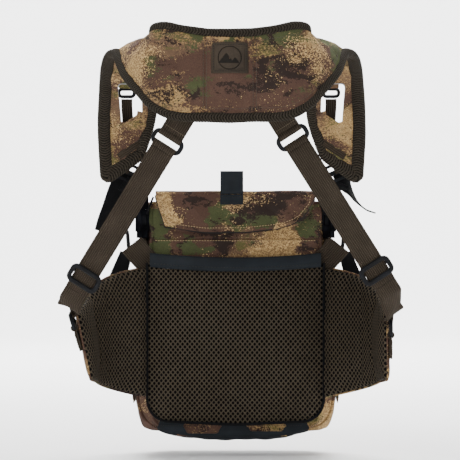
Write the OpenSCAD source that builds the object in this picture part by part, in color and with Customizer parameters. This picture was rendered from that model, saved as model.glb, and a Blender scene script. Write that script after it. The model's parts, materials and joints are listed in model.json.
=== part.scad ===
// Binocular harness pack: a padded chest pack with a hinged lid, two mesh-lined wings, and a
// padded yoke whose arms pass over the shoulders. +X is the wearer's right, +Y points forward,
// away from the wearer, and +Z is up. The origin is the middle of the pack's chest face.

/* [Pack] */
// Width of the mesh chest panel
panel_w = 189; // [180:1:196]
// Height of the mesh chest panel
panel_h = 174; // [166:1:180]
// Thickness of the chest panel's foam
pad_t = 10; // [8:0.5:10]
// Width of the pack's body at its widest
body_w = 222; // [214:1:226]
// Depth of the pack's body
body_d = 94; // [84:1:98]
// Wall thickness of the pack's padded fabric
wall_t = 4; // [3:0.5:5]
// Height of the pack's rim above the origin
rim_z = 154; // [150:1:156]
// Width of the lid along its rear edge
lid_w = 174; // [168:1:176]
// Thickness of the padded lid
lid_t = 12; // [8:1:12]

/* [Harness] */
// Width of the harness webbing
webbing_w = 25; // [20:1:25]
// Thickness of one layer of webbing
webbing_t = 1.5; // [1.2:0.1:1.5]
// Thickness of the yoke's and arms' padding
yoke_t = 7; // [5:0.5:8]
// Width of the edge binding on the yoke and arms
binding_w = 9; // [7:0.5:10]
// Thickness of the wings' padding
wing_t = 11; // [8:0.5:11]
// Diameter of the bars of the harness rings
bar_d = 4.2; // [3.6:0.1:4.2]

/* [Hidden] */

// Fabric and plastic colours
camo = "#7a6a4a";
mesh_brown = "#3a342c";
webbing_brown = "#453d34";
hypalon = "#272d33";
black_plastic = "#1b1c1f";
black_webbing = "#1d1d1c";
patch_brown = "#453d33";

// Clearance between parts that touch or are sewn together, and of parts that slide
gap = 0.3;
bar_r = bar_d / 2;
// Length and height of a ring or slider over its bars
ring_l = webbing_w + 10;
ring_h = 18;

// Sideways hang of the yoke and arms against the pack
hang = -4;

// Points of the right arm's two edges, from the seam beside the patch, over the shoulder and
// down to its lower end: the edge beside the neck, and the outer edge
neck_edge = [
    [22, -233, 324], [46, -231, 327.5], [63, -224, 331.5], [74, -211, 330.5], [79, -190, 326],
    [82, -155, 321], [84, -105, 309], [83, -55, 287], [83, -18, 248], [97, -3, 207]
];
outer_edge = [
    [22, -234, 231], [55, -231, 232.5], [77, -222, 243], [93, -205, 260], [110, -178, 280],
    [121, -140, 303], [132, -95, 303], [138.5, -50, 279], [142, -20, 228], [139, -4, 174]
];

// The seam where a wing joins the pack, and the wing's bend towards the wearer's side
wing_seam_x = panel_w / 2 + 1;
wing_bend_r = 73;
wing_bend = [15, 80];
wing_end_l = 49;

// Ring on the wing's tip, and for the right (1) and left (-1) side the ring on the yoke's lower
// edge, and the direction, facing and slider place of the strap between them
function wing_ring_c(s) = [166 - 3.4 * s, -96, 24.8 - 3.4 * s];
// Lean of the tab that holds the ring, in degrees
function wing_lean(s) = 8.5 - 8.5 * s;
function yoke_ring_c(s) = [62.7 + s * hang, -212, 214 + 2 * s];
function slider_rest(s) = [149 + s * hang / 2, -150, 79.2];
function side_dir(s) = unit(slider_rest(s) - yoke_ring_c(s));
function side_normal(s) = unit([0, -1, 0] + side_dir(s)[1] * side_dir(s));
function slider_c(s) = slider_rest(s) - 5 * s * side_dir(s);

// Release buckle at the pack's upper corner: its centre, and its heading about Z
buckle_c = [102.5, 30, 134];
buckle_turn = 75;

function unit(v) = v / norm(v);
function mix(a, b, t) = a + (b - a) * t;
// Point at share t between p1 and p2 on a Catmull-Rom curve
function curve_point(p0, p1, p2, p3, t) = 0.5 * (2 * p1 + (p2 - p0) * t
    + (2 * p0 - 5 * p1 + 4 * p2 - p3) * t * t + (3 * p1 - p0 - 3 * p2 + p3) * t * t * t);
// Smooth curve through the points p, with k steps between each pair
function smooth(p, k) = [
    for (i = [0:len(p) - 2], j = [0:k - 1])
        curve_point(p[max(i - 1, 0)], p[i], p[i + 1], p[min(i + 2, len(p) - 1)], j / k),
    p[len(p) - 1]
];
// Direction of a list of points at index i
function heading(p, i) = unit(p[min(i + 1, len(p) - 1)] - p[max(i - 1, 0)]);
// Four-cornered rings of a band between the edges a and b, from offset t0 to t1 off its surface
function band(a, b, t0, t1) = [
    for (i = [0:len(a) - 1])
        let (n = unit(cross(heading(a, i) + heading(b, i), b[i] - a[i])))
            [a[i] + n * t0, b[i] + n * t0, b[i] + n * t1, a[i] + n * t1]
];
// Edge b's points moved to a distance d from edge a
function inset(a, b, d) = [for (i = [0:len(a) - 1]) a[i] + unit(b[i] - a[i]) * d];
// Edges of a strip of width w along the points p, with across giving its width's direction
function strip_edge(p, across, w) = [for (i = [0:len(p) - 1]) p[i] + unit(across[i]) * w / 2];

// Closed solid through rings of four points
module loft(rings) {
    n = len(rings[0]);
    last = (len(rings) - 1) * n;
    polyhedron(
        points = [for (r = rings) each r],
        faces = [
            [for (j = [0:n - 1]) j],
            [for (j = [n - 1:-1:0]) last + j],
            for (i = [0:len(rings) - 2], j = [0:n - 1])
                let (a = i * n + j, b = i * n + (j + 1) % n)
                    each [[a, a + n, b + n], [a, b + n, b]]
        ]
    );
}

// Strip of webbing along smoothed points, its width along the directions in across
module webbing_strip(points, across, w, t, steps = 4) {
    p = smooth(points, steps);
    a = smooth(across, steps);
    loft(band(strip_edge(p, a, -w), strip_edge(p, a, w), -t / 2, t / 2));
}

// Draws its children as given for the right side (1), or mirrored for the left side (-1)
module side(s) {
    if (s < 0) mirror([1, 0, 0]) children();
    else children();
}

module both_sides() {
    for (s = [-1, 1]) side(s) children();
}

// Places its children with their x along the vector x_dir and their z along z_dir, at point at
module frame_at(at, x_dir, z_dir) {
    x = unit(x_dir);
    y = unit(cross(z_dir, x_dir));
    z = cross(x, y);
    multmatrix([
        [x[0], y[0], z[0], at[0]], [x[1], y[1], z[1], at[1]], [x[2], y[2], z[2], at[2]],
        [0, 0, 0, 1]
    ]) children();
}

// Flat plate of an XZ outline, from y0 forward by depth
module plate(y0, depth) {
    translate([0, y0 + depth, 0]) rotate([90, 0, 0]) linear_extrude(depth) children();
}

// Height of the chest panel's sagging upper edge at x
function panel_top(x) = panel_h / 2 - 5 * (1 - pow(x / (panel_w / 2), 2));

// ---- Pack ----

// Outline of the chest panel: straight sides, rounded lower corners and a sagging top
module panel_outline() {
    w = panel_w / 2;
    corner = 24;
    bow = 3;
    polygon([
        for (x = [-w:w / 10:w + 0.01]) [x, panel_top(x)],
        for (a = [0:-15:-90]) [w - corner + corner * cos(a), -panel_h / 2 + bow + corner * (1 + sin(a))],
        [0, -panel_h / 2],
        for (a = [-90:-15:-180])
            [-w + corner + corner * cos(a), -panel_h / 2 + bow + corner * (1 + sin(a))]
    ]);
}

module back_pad() color(mesh_brown) plate(0, pad_t) panel_outline();

// Stiff band along the chest panel's upper edge
module back_band() {
    h = 11;
    w = panel_w / 2 - 2;
    color(hypalon) plate(2, pad_t - 2) polygon([
        for (x = [-w:w / 8:w + 0.01]) [x, panel_top(x) + gap],
        for (x = [w:-w / 8:-w - 0.01]) [x, panel_top(x) + h]
    ]);
}

// Rounded rectangle of half width w from z0 to z1 at depth y, with corner radius r
module slice(y, w, z0, z1, r) {
    plate(y, 0.5) hull() {
        for (x = [-w + r, w - r]) translate([x, z0 + r]) circle(r, $fn = 32);
        for (x = [-w + r, w - r]) translate([x, z1 - 2]) circle(2, $fn = 16);
    }
}

// Pack's outer shape, drawn in by t for the shape of its cavity
module body_shape(t) {
    y0 = pad_t + gap;
    top = t > 0 ? rim_z + 20 : rim_z;
    hull() {
        slice(y0 + t, panel_w / 2 - 3 - t, -92 + t, top, 18);
        for (y = [0.4, 0.6]) {
            slice(y0 + body_d * y, body_w / 2 - t, -50 + t, 60, 12);
            slice(y0 + body_d * y, body_w / 2 - 7 - t, -97 + t, 0, 10);
        }
        slice(y0 + body_d * 0.5, body_w / 2 - 12 - t, -50 + t, top, 16);
        slice(y0 + body_d - t, panel_w / 2 - 7 - t, -88 + t, top, 22);
    }
}

// Depths of the rear and front panels' inner faces, and the height of the base panel's seam
rear_seam = pad_t + gap + wall_t;
front_seam = pad_t + gap + body_d - wall_t;
base_seam = -67.3;

// Part of the pack's padded shell, open at the top, that lies between two corners of a box
module pack_panel(low, high) color(camo) difference() {
    intersection() {
        body_shape(0);
        translate(low) cube(high - low);
    }
    body_shape(wall_t);
}

module pack_rear() pack_panel([-150, 0, base_seam], [150, rear_seam, rim_z]);
module pack_front() pack_panel([-150, front_seam, base_seam], [150, 200, rim_z]);
module pack_side(s) side(s) pack_panel([0, rear_seam, base_seam], [150, front_seam, rim_z]);
module pack_base() pack_panel([-150, 0, -200], [150, 200, base_seam]);

// Tough panel under the pack, with two open windows along its rear edge for lashing
module bottom_guard() color(hypalon) difference() {
    translate([0, 0, -104]) hull() {
        for (x = [-1, 1]) {
            translate([x * 57, 27, 10]) cylinder(h = 6.2, r = 22, $fn = 32);
            translate([x * 60, 76, 8]) cylinder(h = 3, r = 20, $fn = 32);
            translate([x * 34, 26, 0]) cylinder(h = 2, r = 20, $fn = 32);
            translate([x * 40, 72, 0]) cylinder(h = 2, r = 18, $fn = 32);
        }
    }
    minkowski() {
        body_shape(0);
        cube(2 * gap, center = true);
    }
    for (x = [[-58, 35], [8, 42]]) translate([x[0], 0, -99]) cube([x[1], 14, 20]);
}

module front_pocket() {
    y0 = pad_t + gap + body_d + gap;
    color(camo) hull() {
        slice(y0 + 0.5, 72, -70, 62, 20);
        slice(y0 + 12, 64, -62, 54, 18);
    }
}

zip_y = pad_t + gap + body_d + gap;
zip_z = 92;
zip_l = 132;
zip_start = -zip_l / 2 + 8;
pull_y = zip_y + 7.6;

// Zip tape with its row of teeth, above the front pocket
module zip_tape() color(black_webbing) {
    plate(zip_y + 0.5, 1.2) translate([-zip_l / 2, zip_z - 9]) square([zip_l, 18]);
    plate(zip_y + 1.7, 1.4) translate([-zip_l / 2, zip_z - 2.5]) square([zip_l, 5]);
}

// Slider that rides over the zip's teeth, with two lugs for its pull
module zip_slider() color(black_plastic) translate([zip_start, 0, zip_z]) difference() {
    union() {
        for (z = [-4.6, 3]) translate([-5, zip_y + 1.7 + gap, z]) cube([10, 3.4, 1.6]);
        translate([-5, zip_y + 3.1 + gap, -4.6]) cube([10, 2, 9.2]);
        for (x = [-4.4, 2.4]) translate([x, zip_y + 5, -2]) cube([2, 4.6, 4]);
    }
    translate([0, pull_y, 0]) rotate([0, 90, 0]) cylinder(h = 20, r = 1.05, center = true, $fn = 24);
}

// Pull that hangs from the slider's lugs
module zip_pull() color(black_plastic) translate([zip_start, pull_y, zip_z]) {
    rotate([0, 90, 0]) cylinder(h = 8.8, r = 1, center = true, $fn = 24);
    translate([-2, -0.9, -6]) cube([4, 1.8, 6]);
    difference() {
        translate([-4, -1.1, -25]) cube([8, 2.2, 20]);
        translate([0, 4, -20]) rotate([90, 0, 0]) cylinder(h = 8, r = 2, $fn = 24);
    }
}

// Stretch pocket on the side of the body
module side_pocket() {
    y0 = pad_t + gap + body_d * 0.5;
    x0 = body_w / 2 + gap + 0.4;
    color(camo) intersection() {
        hull() {
            translate([x0 - 3, y0, 20]) cube([3, 44, 4], center = true);
            translate([x0 + 1, y0, -30]) cube([2, 46, 60], center = true);
            translate([x0 - 4, y0, -78]) cube([4, 36, 12], center = true);
        }
        translate([x0, -200, -200]) cube([20, 400, 400]);
    }
}

// ---- Lid ----

// Lid: a padded top, and a flap that hangs over the upper edge of the chest side
module lid() {
    z0 = rim_z + gap;
    y_rear = 5;
    y_front = pad_t + gap + body_d + 3;
    rear = lid_w / 2;
    front = lid_w / 2 - 2;
    color(camo) {
        hull() {
            for (s = [-1, 1]) {
                translate([s * (rear - 3), y_rear + 3, z0]) cylinder(h = lid_t, r = 3, $fn = 24);
                translate([s * (front - 18), y_front - 18, z0])
                    cylinder(h = lid_t - 3, r = 18, $fn = 32);
            }
        }
        plate(y_rear, pad_t - gap - y_rear - 0.6) polygon([
            [-rear + 0.4, z0 + 2], [rear - 0.4, z0 + 2], [rear - 8, 138], [rear - 16, 129],
            for (x = [60:-15:-60]) [x, 121 + 3.2 * pow(x / 60, 2) + 0.03 * x],
            [-rear + 17, 125], [-rear + 12, 129]
        ]);
    }
}

// Pull tab's sewn base and its stiff grip, which flexes where it leaves the lid
tab_w = 25;
tab_t = 2.4;
tab_y = 5 - gap - tab_t / 2;
tab_z = 164;

module tab_base() color(hypalon)
    translate([-tab_w / 2 + hang, tab_y - tab_t / 2, 151.5])
        cube([tab_w, tab_t, tab_z - tab_t / 2 - gap - 151.5]);

module pull_tab() color(hypalon) translate([-tab_w / 2 + hang, tab_y, tab_z]) {
    translate([0, -tab_t / 2, 0]) cube([tab_w, tab_t, 24]);
    rotate([0, 90, 0]) cylinder(h = tab_w, r = tab_t / 2, $fn = 24);
}

// Elastic that hooks the lid's rear corner down to the body
module lid_elastic() color(black_webbing)
    webbing_strip(
        [[89.5, 10.5, 160], [92, 10.5, 154], [94.6, 10.5, 147], [96.2, 10.5, 141]],
        [[0, 1, 0], [0, 1, 0], [0, 1, 0], [0, 1, 0]], 9, 2);

// ---- Corner release buckle ----

// Places its children in the right buckle's own axes: x across it, y out of its face, z up
module at_buckle() {
    translate(buckle_c) rotate([0, 0, buckle_turn]) children();
}

// Webbing that holds the buckle's socket to the side of the pack
module corner_tab() color(webbing_brown)
    webbing_strip(
        [[99, 25, 100], [99.8, 26.5, 106], [101, 28.6, 111], buckle_c - [0, 0, 19.8]],
        [for (i = [0:3]) [cos(buckle_turn), sin(buckle_turn), 0]], 20, webbing_t * 2);

socket_w = 28;
socket_h = 24;
latch_top = socket_h / 2 - 0.5;

// Socket of the buckle: a flat sleeve open at the top, a window at each side for the latches,
// and below it a crossbar for its webbing
module buckle_female() color(black_plastic) at_buckle() difference() {
    union() {
        translate([-socket_w / 2, -5, -socket_h / 2]) cube([socket_w, 10, socket_h]);
        translate([-socket_w / 2, -3.5, -socket_h / 2 - 7]) cube([socket_w, 7, 8]);
    }
    translate([-11, -2.8, -socket_h / 2 + 3]) cube([22, 5.6, socket_h]);
    for (s = [-1, 1]) translate([s * 12.5 - 4, -2.8, -5]) cube([8, 5.6, 11]);
}

// Plug of the buckle: a centre guide below a crossbar with a webbing slot
module buckle_male() color(black_plastic) at_buckle() {
    z0 = socket_h / 2 + gap;
    translate([-2.5, -2.3, z0 - 18]) cube([5, 4.6, 19]);
    for (s = [-1, 1]) translate([s * 4.4 - 0.9, -2.3, z0 - 2]) cube([1.8, 4.6, 3]);
    translate([-socket_w / 2, -4, z0]) difference() {
        cube([socket_w, 8, 14]);
        translate([3, -1, 5]) cube([socket_w - 6, 10, 4]);
    }
}

// Springy latch arm of the plug, with a button that shows in the socket's side window
module latch() color(black_plastic) at_buckle() {
    translate([8.2, 0, latch_top - 1.6]) rotate([90, 0, 0])
        cylinder(h = 4.6, r = 1.6, center = true, $fn = 24);
    translate([6.6, -2.3, -6]) cube([3.2, 4.6, latch_top + 4.4]);
    translate([9.6, -2.3, -4]) cube([1.1, 4.6, 8.6]);
}

// The front latch mirrored to the buckle's rear edge
module mirrored_latch() {
    at_buckle() mirror([1, 0, 0]) rotate([0, 0, -buckle_turn]) translate(-buckle_c) latch();
}

// Webbing from the arm's end to the buckle's plug on side s
module shoulder_strap(s) color(black_webbing)
    webbing_strip(
        [[118.5 + s * hang, 11.5, 175.5], [114 + s * hang / 2, 12.5, 171], [108, 16, 167.5],
            [105, 25, 164], buckle_c + [0, 0, socket_h / 2 + 14 + 2 * gap + 1]],
        [[0.92, 0, 0.38], [0.95, 0.1, 0.3], [0.85, 0.4, 0.15], [0.5, 0.85, 0],
            [cos(buckle_turn), sin(buckle_turn), 0]], 20, webbing_t);

// Free ends of the shoulder webbing: the right one curls outward, the left one hangs
tail_right = [
    [118, 15.5, 190], [122, 23, 180], [128.5, 31, 168], [136, 32, 156], [146, 31, 147], [155, 28, 143]
];
tail_left = [
    [118, 15.5, 190], [121, 22, 179], [126.5, 27, 166], [132, 24, 149], [137, 18, 134], [140, 13, 122]
];

module strap_tail_right() color(black_webbing)
    webbing_strip(tail_right,
        [[0.9, 0, 0.38], [0.8, 0.4, 0.3], [0.4, 0.9, 0.1], [0.2, 1, 0], [0, 1, 0.05], [0, 1, 0.05]],
        20, webbing_t);

module strap_tail_left() color(black_webbing)
    webbing_strip(tail_left,
        [[0.9, 0, 0.38], [0.93, 0, 0.3], [0.95, 0, 0.25], [0.95, 0, 0.28], [0.93, 0, 0.33], [0.9, 0, 0.38]],
        20, webbing_t);

// Ladder lock on the arm's lower end, over which the shoulder webbing is tightened
module ladder_lock() color(black_plastic)
    frame_at([116.5, 11.5, 188], [0.92, 0, 0.38], [0, 1, 0]) {
        difference() {
            translate([-14, -10, -2.4]) cube([28, 20, 4.2]);
            translate([-11, -6.8, -4]) cube([22, 4.2, 8]);
            translate([-11, 2.6, -4]) cube([22, 4.2, 8]);
        }
    }

// Webbing sewn to the arm's end to hold the ladder lock
module arm_anchor() color(webbing_brown)
    frame_at([117.4, 5.6, 200], [0.92, 0, 0.38], [0, 1, 0])
        translate([-10, -2, -0.8]) cube([20, 22, 2]);

// ---- Yoke and arms ----

arm_steps = 4;
neck = smooth(neck_edge, arm_steps);
outer = smooth(outer_edge, arm_steps);
arm_n = len(neck) - 1;

// The first k points of the points p
function first(p, k) = [for (i = [0:k - 1]) p[i]];
// Both sides' points: the left ones from the lower end, a middle point, then the right ones
function both(p, middle) = [
    for (i = [len(p) - 1:-1:0]) [-p[i][0], p[i][1], p[i][2]], middle, for (q = p) q
];
yoke_neck = [[-22 + gap, -233, 324], [0, -234, 323.3], [22 - gap, -233, 324]];
yoke_outer = [[-22 + gap, -234, 231], [0, -235, 230], [22 - gap, -234, 231]];

// Padded band between the distances d0 from edge a and d1 from edge b
module pad_band(a, b, d0, d1, t) {
    loft(band(inset(a, b, d0), inset(b, a, d1), -t / 2, t / 2));
}

// Places its children with the sideways hang of the yoke and arms
module hung() {
    translate([hang, 0, 0]) children();
}

module yoke_pad() color(camo) hung()
    pad_band(yoke_neck, yoke_outer, binding_w + 2 * gap, binding_w + 2 * gap, yoke_t);

// Window through the arm below the shoulder: its centre and size
window_c = [108.6, -30, 259.5];
window_w = 25;
window_h = 40;

// Arm from the yoke's seam to its lower end, with its window
module arm() color(camo) difference() {
    pad_band(first(neck, arm_n), first(outer, arm_n), binding_w + 2 * gap, binding_w + 2 * gap, yoke_t);
    translate(window_c) hull() {
        for (x = [-1, 1], z = [-1, 1])
            translate([x * (window_w / 2 - 4), 30, z * (window_h / 2 - 4)]) rotate([90, 0, 0])
                cylinder(h = 60, r = 4, $fn = 24);
        translate([-window_w / 2 + 2, 30, -window_h / 2 + 12]) rotate([90, 0, 0])
            cylinder(h = 60, r = 2, $fn = 24);
    }
}

// Share of the arm's last step that is left clear before its end binding
end_share = 0.15;

// Knitted binding round the yoke and arms
module edge_binding() color(mesh_brown) hung() {
    t = yoke_t + 2;
    a = both(neck, yoke_neck[1]);
    b = both(outer, yoke_outer[1]);
    loft(band(a, inset(a, b, binding_w - gap), -t / 2, t / 2));
    loft(band(inset(b, a, binding_w - gap), b, -t / 2, t / 2));
    for (s = [-1, 1]) side(s) {
        e = [mix(neck[arm_n - 1], neck[arm_n], end_share), neck[arm_n]];
        f = [mix(outer[arm_n - 1], outer[arm_n], end_share), outer[arm_n]];
        loft(band(inset(e, f, 2), inset(f, e, 2), -t / 2, t / 2));
    }
}

// Plain sewn patch on the middle of the yoke
module patch() color(patch_brown) hung()
    translate([-18.5, -234.7 - yoke_t / 2 - 1.6, 278.5]) cube([37, 1.6, 31]);

// Webbing looped round a bar along x at the origin, running back along +y for length l
module webbing_loop(l, w) {
    outside = bar_r + gap + webbing_t;
    rotate([90, 0, 90]) translate([0, 0, -w / 2]) linear_extrude(w) difference() {
        union() {
            circle(outside, $fn = 32);
            translate([0, -webbing_t]) square([l, 2 * webbing_t]);
        }
        circle(bar_r + gap, $fn = 32);
    }
}

// Rectangular ring: two long bars along x and two short ones along y
module ring(l, h) {
    for (y = [-1, 1]) translate([0, y * (h / 2 - bar_r), 0]) rotate([0, 90, 0])
        cylinder(h = l - bar_d, r = bar_r, center = true, $fn = 32);
    for (x = [-1, 1]) translate([x * (l / 2 - bar_r), 0, 0]) {
        rotate([90, 0, 0]) cylinder(h = h - bar_d, r = bar_r, center = true, $fn = 32);
        for (y = [-1, 1]) translate([0, y * (h / 2 - bar_r), 0]) sphere(bar_r, $fn = 32);
    }
}

// Axes of the side strap on side s: x across it, y up along it, z out of its face
module at_side_strap(point, s) {
    frame_at(point, cross(-side_dir(s), side_normal(s)), side_normal(s)) children();
}

module yoke_ring(s) color(black_plastic) at_side_strap(yoke_ring_c(s), s) ring(ring_l, ring_h);

// Webbing from the yoke's lower edge to its ring
module yoke_tab(s) color(webbing_brown)
    at_side_strap(yoke_ring_c(s), s) translate([0, ring_h / 2 - bar_r, 0])
        webbing_loop(26, webbing_w);

// Side strap: from the yoke's ring it passes through the slider
module side_strap(s) color(webbing_brown)
    at_side_strap(yoke_ring_c(s), s) translate([0, -ring_h / 2 + bar_r, 0]) rotate([0, 0, 180])
        webbing_loop(norm(slider_c(s) - yoke_ring_c(s)) - (ring_h / 2 - bar_r) + 18, webbing_w);

// Lower end of the side strap, which turns edge-on to reach the wing's ring
module wing_strap(s) color(webbing_brown) {
    across = cross(-side_dir(s), side_normal(s));
    start = slider_c(s) + side_dir(s) * (18 + 3 * gap);
    finish = wing_ring_c(s) + [1.5, 0, ring_h / 2 + webbing_t + gap];
    webbing_strip(
        [start, start + side_dir(s) * 4, mix(start, finish, 0.45) + [3, -3, 0],
            mix(start, finish, 0.75) + [2, -2, 0], finish],
        [across, across, mix(across, [0.3, 1, 0], 0.45), mix(across, [0.1, 1, 0], 0.8), [0, 1, 0]],
        webbing_w, webbing_t * 2);
}

// Three-bar slider: the strap runs under its outer bars and over its middle bar
module slider(s) color(black_plastic) at_side_strap(slider_c(s), s) {
    h = 21;
    front = webbing_t + gap;
    difference() {
        translate([-ring_l / 2, -h / 2, front]) cube([ring_l, h, 3]);
        translate([-webbing_w / 2 - 0.6, -h / 2 + 3.6, 0]) cube([webbing_w + 1.2, h - 7.2, 10]);
    }
    for (s = [-1, 1]) translate([s * (webbing_w / 2 + 2.9) - 2.1, -h / 2 + 3, -front - 2.4])
        cube([4.2, h - 6, 2 * front + 2.8]);
    translate([-ring_l / 2 + 0.5, -2, -front - 2.4]) cube([ring_l - 1, 4, 2.4]);
}

// ---- Wings ----

// Points of the wing's middle line in plan, from its seam to its tip
wing_turns = [for (a = [wing_bend[0]:5:wing_bend[1]]) a];
wing_line = [
    for (a = wing_turns)
        [wing_seam_x + wing_bend_r * (sin(a) - sin(wing_bend[0])),
            3 - wing_bend_r * (cos(wing_bend[0]) - cos(a))],
    for (d = [wing_end_l / 3:wing_end_l / 3:wing_end_l + 0.01])
        [wing_seam_x + wing_bend_r * (sin(wing_bend[1]) - sin(wing_bend[0])) + d * cos(86),
            3 - wing_bend_r * (cos(wing_bend[0]) - cos(wing_bend[1])) - d * sin(86)]
];
wing_n = len(wing_line) - 1;

// How far the wing's upper and lower edge flare outward at its tip
function wing_flare(s, top) = top ? 4.5 - 2.7 * s : 0.1 + 4.4 * s;
// Height of the wing's upper and lower edge, and half its thickness, at share u of its length
function wing_top(u) = 84 - 16 * u - 38 * pow(u, 3) - (u > 0.9 ? 160 * pow(u - 0.9, 1.4) : 0);
function wing_bottom(u) = -59 + 24 * u + 5 * u * u + (u > 0.9 ? 120 * pow(u - 0.9, 1.4) : 0);
function wing_half_t(u) = u < 0.12 ? 2 + (wing_t / 2 - 2) * u / 0.12
    : wing_t / 2 - 1.5 * (u - 0.12);

module wing(s) color(mesh_brown) {
    loft([
        for (i = [0:wing_n])
            let (u = i / wing_n, p = wing_line[i],
                h = unit(wing_line[min(i + 1, wing_n)] - wing_line[max(i - 1, 0)]),
                n = [-h[1], h[0]] * wing_half_t(u),
                low = [wing_flare(s, false) * u * u, 0], high = [wing_flare(s, true) * u * u, 0])
                [
                    [each p + n + low, wing_bottom(u)],
                    [each p - n + low, wing_bottom(u)],
                    [each p - n + high, wing_top(u)],
                    [each p + n + high, wing_top(u)]
                ]
    ]);
}

// Axes of the wing's ring: x forward along it, y up from the wing's tip
module at_wing_ring(s) {
    frame_at(wing_ring_c(s), [0, 1, 0], [cos(wing_lean(s)), 0, -sin(wing_lean(s))]) children();
}

module wing_ring(s) color(black_plastic) at_wing_ring(s) ring(ring_l, ring_h);

// Webbing sewn to the outside of the wing's tip, holding its ring
module wing_tab(s) color(webbing_brown) at_wing_ring(s)
    translate([0, -ring_h / 2 + bar_r, 0]) rotate([0, 0, 180]) webbing_loop(25, webbing_w);

// ---- Stabilizer between the pack's side and the wing ----

stab_ring_c = [117, 14, 109];

// Wide webbing sewn into the seam beside the chest panel
module stabilizer_tab() color(webbing_brown)
    webbing_strip(
        [[99.5, 8, 92], [103, 6.5, 97], [107.5, 5.5, 102.5], [112, 5.5, 107.5]],
        [[-0.3, 0, 1], [-0.45, 0, 1], [-0.35, 0.05, 1], [-0.15, 0.1, 1]], webbing_w, webbing_t * 2);

// Ring at the wide webbing's end, standing edge-on to the chest panel
module stabilizer_ring() color(black_plastic)
    translate(stab_ring_c) rotate([0, 95, 0]) ring(ring_l - 6, 16);

module stabilizer_strap() color(black_webbing)
    webbing_strip(
        [[120, 14.5, 94.5], [124.5, 14, 84], [131, 11, 66], [137.5, 5, 48], [142, -2, 32]],
        [[0.3, 1, 0], [0.8, 0.8, 0.2], [1, 0.4, 0.3], [1, 0.2, 0.3], [1, 0.1, 0.3]],
        18, webbing_t);

// ---- Keeper in the arm's window ----

function keeper_x(s) = window_c[0] + 1.5 - 3 * s;

module keeper_loop(s) color(black_plastic)
    translate([keeper_x(s), -21, 271.5]) rotate([110, 0, 0]) ring(20, 12);

// Narrow webbing that hangs from the loop to the lower edge of the window
module keeper_strap(s) color(webbing_brown)
    webbing_strip(
        [for (p = [[0, -17.5, 263], [0, -16, 256], [-0.5, -14.5, 248], [-1, -11.5, 240]])
            p + [keeper_x(s), 0, 0]],
        [for (i = [0:3]) [1, 0, 0]], 11, webbing_t * 1.4);

pack_rear();
pack_front();
pack_side(-1);  // pack_side_left
pack_side(1);  // pack_side_right
pack_base();
back_pad();
back_band();
bottom_guard();
front_pocket();
zip_tape();
zip_slider();
zip_pull();
both_sides() side_pocket();  // side_pockets
lid();
tab_base();
pull_tab();
both_sides() lid_elastic();  // lid_elastics
both_sides() corner_tab();  // corner_tabs
side(-1) buckle_female();  // buckle_female_left
side(1) buckle_female();  // buckle_female_right
side(-1) buckle_male();  // buckle_male_left
side(1) buckle_male();  // buckle_male_right
side(-1) mirrored_latch();  // latch_rear_left
side(-1) latch();  // latch_front_left
side(1) mirrored_latch();  // latch_rear_right
side(1) latch();  // latch_front_right
side(-1) shoulder_strap(-1);  // shoulder_strap_left
side(1) shoulder_strap(1);  // shoulder_strap_right
hung() side(-1) strap_tail_left();
hung() strap_tail_right();
hung() both_sides() ladder_lock();  // ladder_locks
hung() both_sides() arm_anchor();  // arm_anchors
yoke_pad();
hung() side(-1) arm();  // arm_left
hung() side(1) arm();  // arm_right
edge_binding();
patch();
side(-1) yoke_tab(-1);  // yoke_tab_left
side(1) yoke_tab(1);  // yoke_tab_right
side(-1) yoke_ring(-1);  // yoke_ring_left
side(1) yoke_ring(1);  // yoke_ring_right
side(-1) side_strap(-1);  // side_strap_left
side(1) side_strap(1);  // side_strap_right
side(-1) wing_strap(-1);  // wing_strap_left
side(1) wing_strap(1);  // wing_strap_right
side(-1) slider(-1);  // slider_left
side(1) slider(1);  // slider_right
side(-1) wing(-1);  // wing_left
side(1) wing(1);  // wing_right
side(-1) wing_tab(-1);  // wing_tab_left
side(1) wing_tab(1);  // wing_tab_right
side(-1) wing_ring(-1);  // wing_ring_left
side(1) wing_ring(1);  // wing_ring_right
side(-1) stabilizer_tab();  // stabilizer_tab_left
side(1) stabilizer_tab();  // stabilizer_tab_right
both_sides() stabilizer_ring();  // stabilizer_rings
both_sides() stabilizer_strap();  // stabilizer_straps
hung() for (s = [-1, 1]) side(s) keeper_loop(s);  // keeper_loops
hung() for (s = [-1, 1]) side(s) keeper_strap(s);  // keeper_straps
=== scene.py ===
import json
import math
from functools import partialmethod

import bmesh
import bpy
import numpy as np
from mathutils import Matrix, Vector, noise
from mathutils.bvhtree import BVHTree

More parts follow.
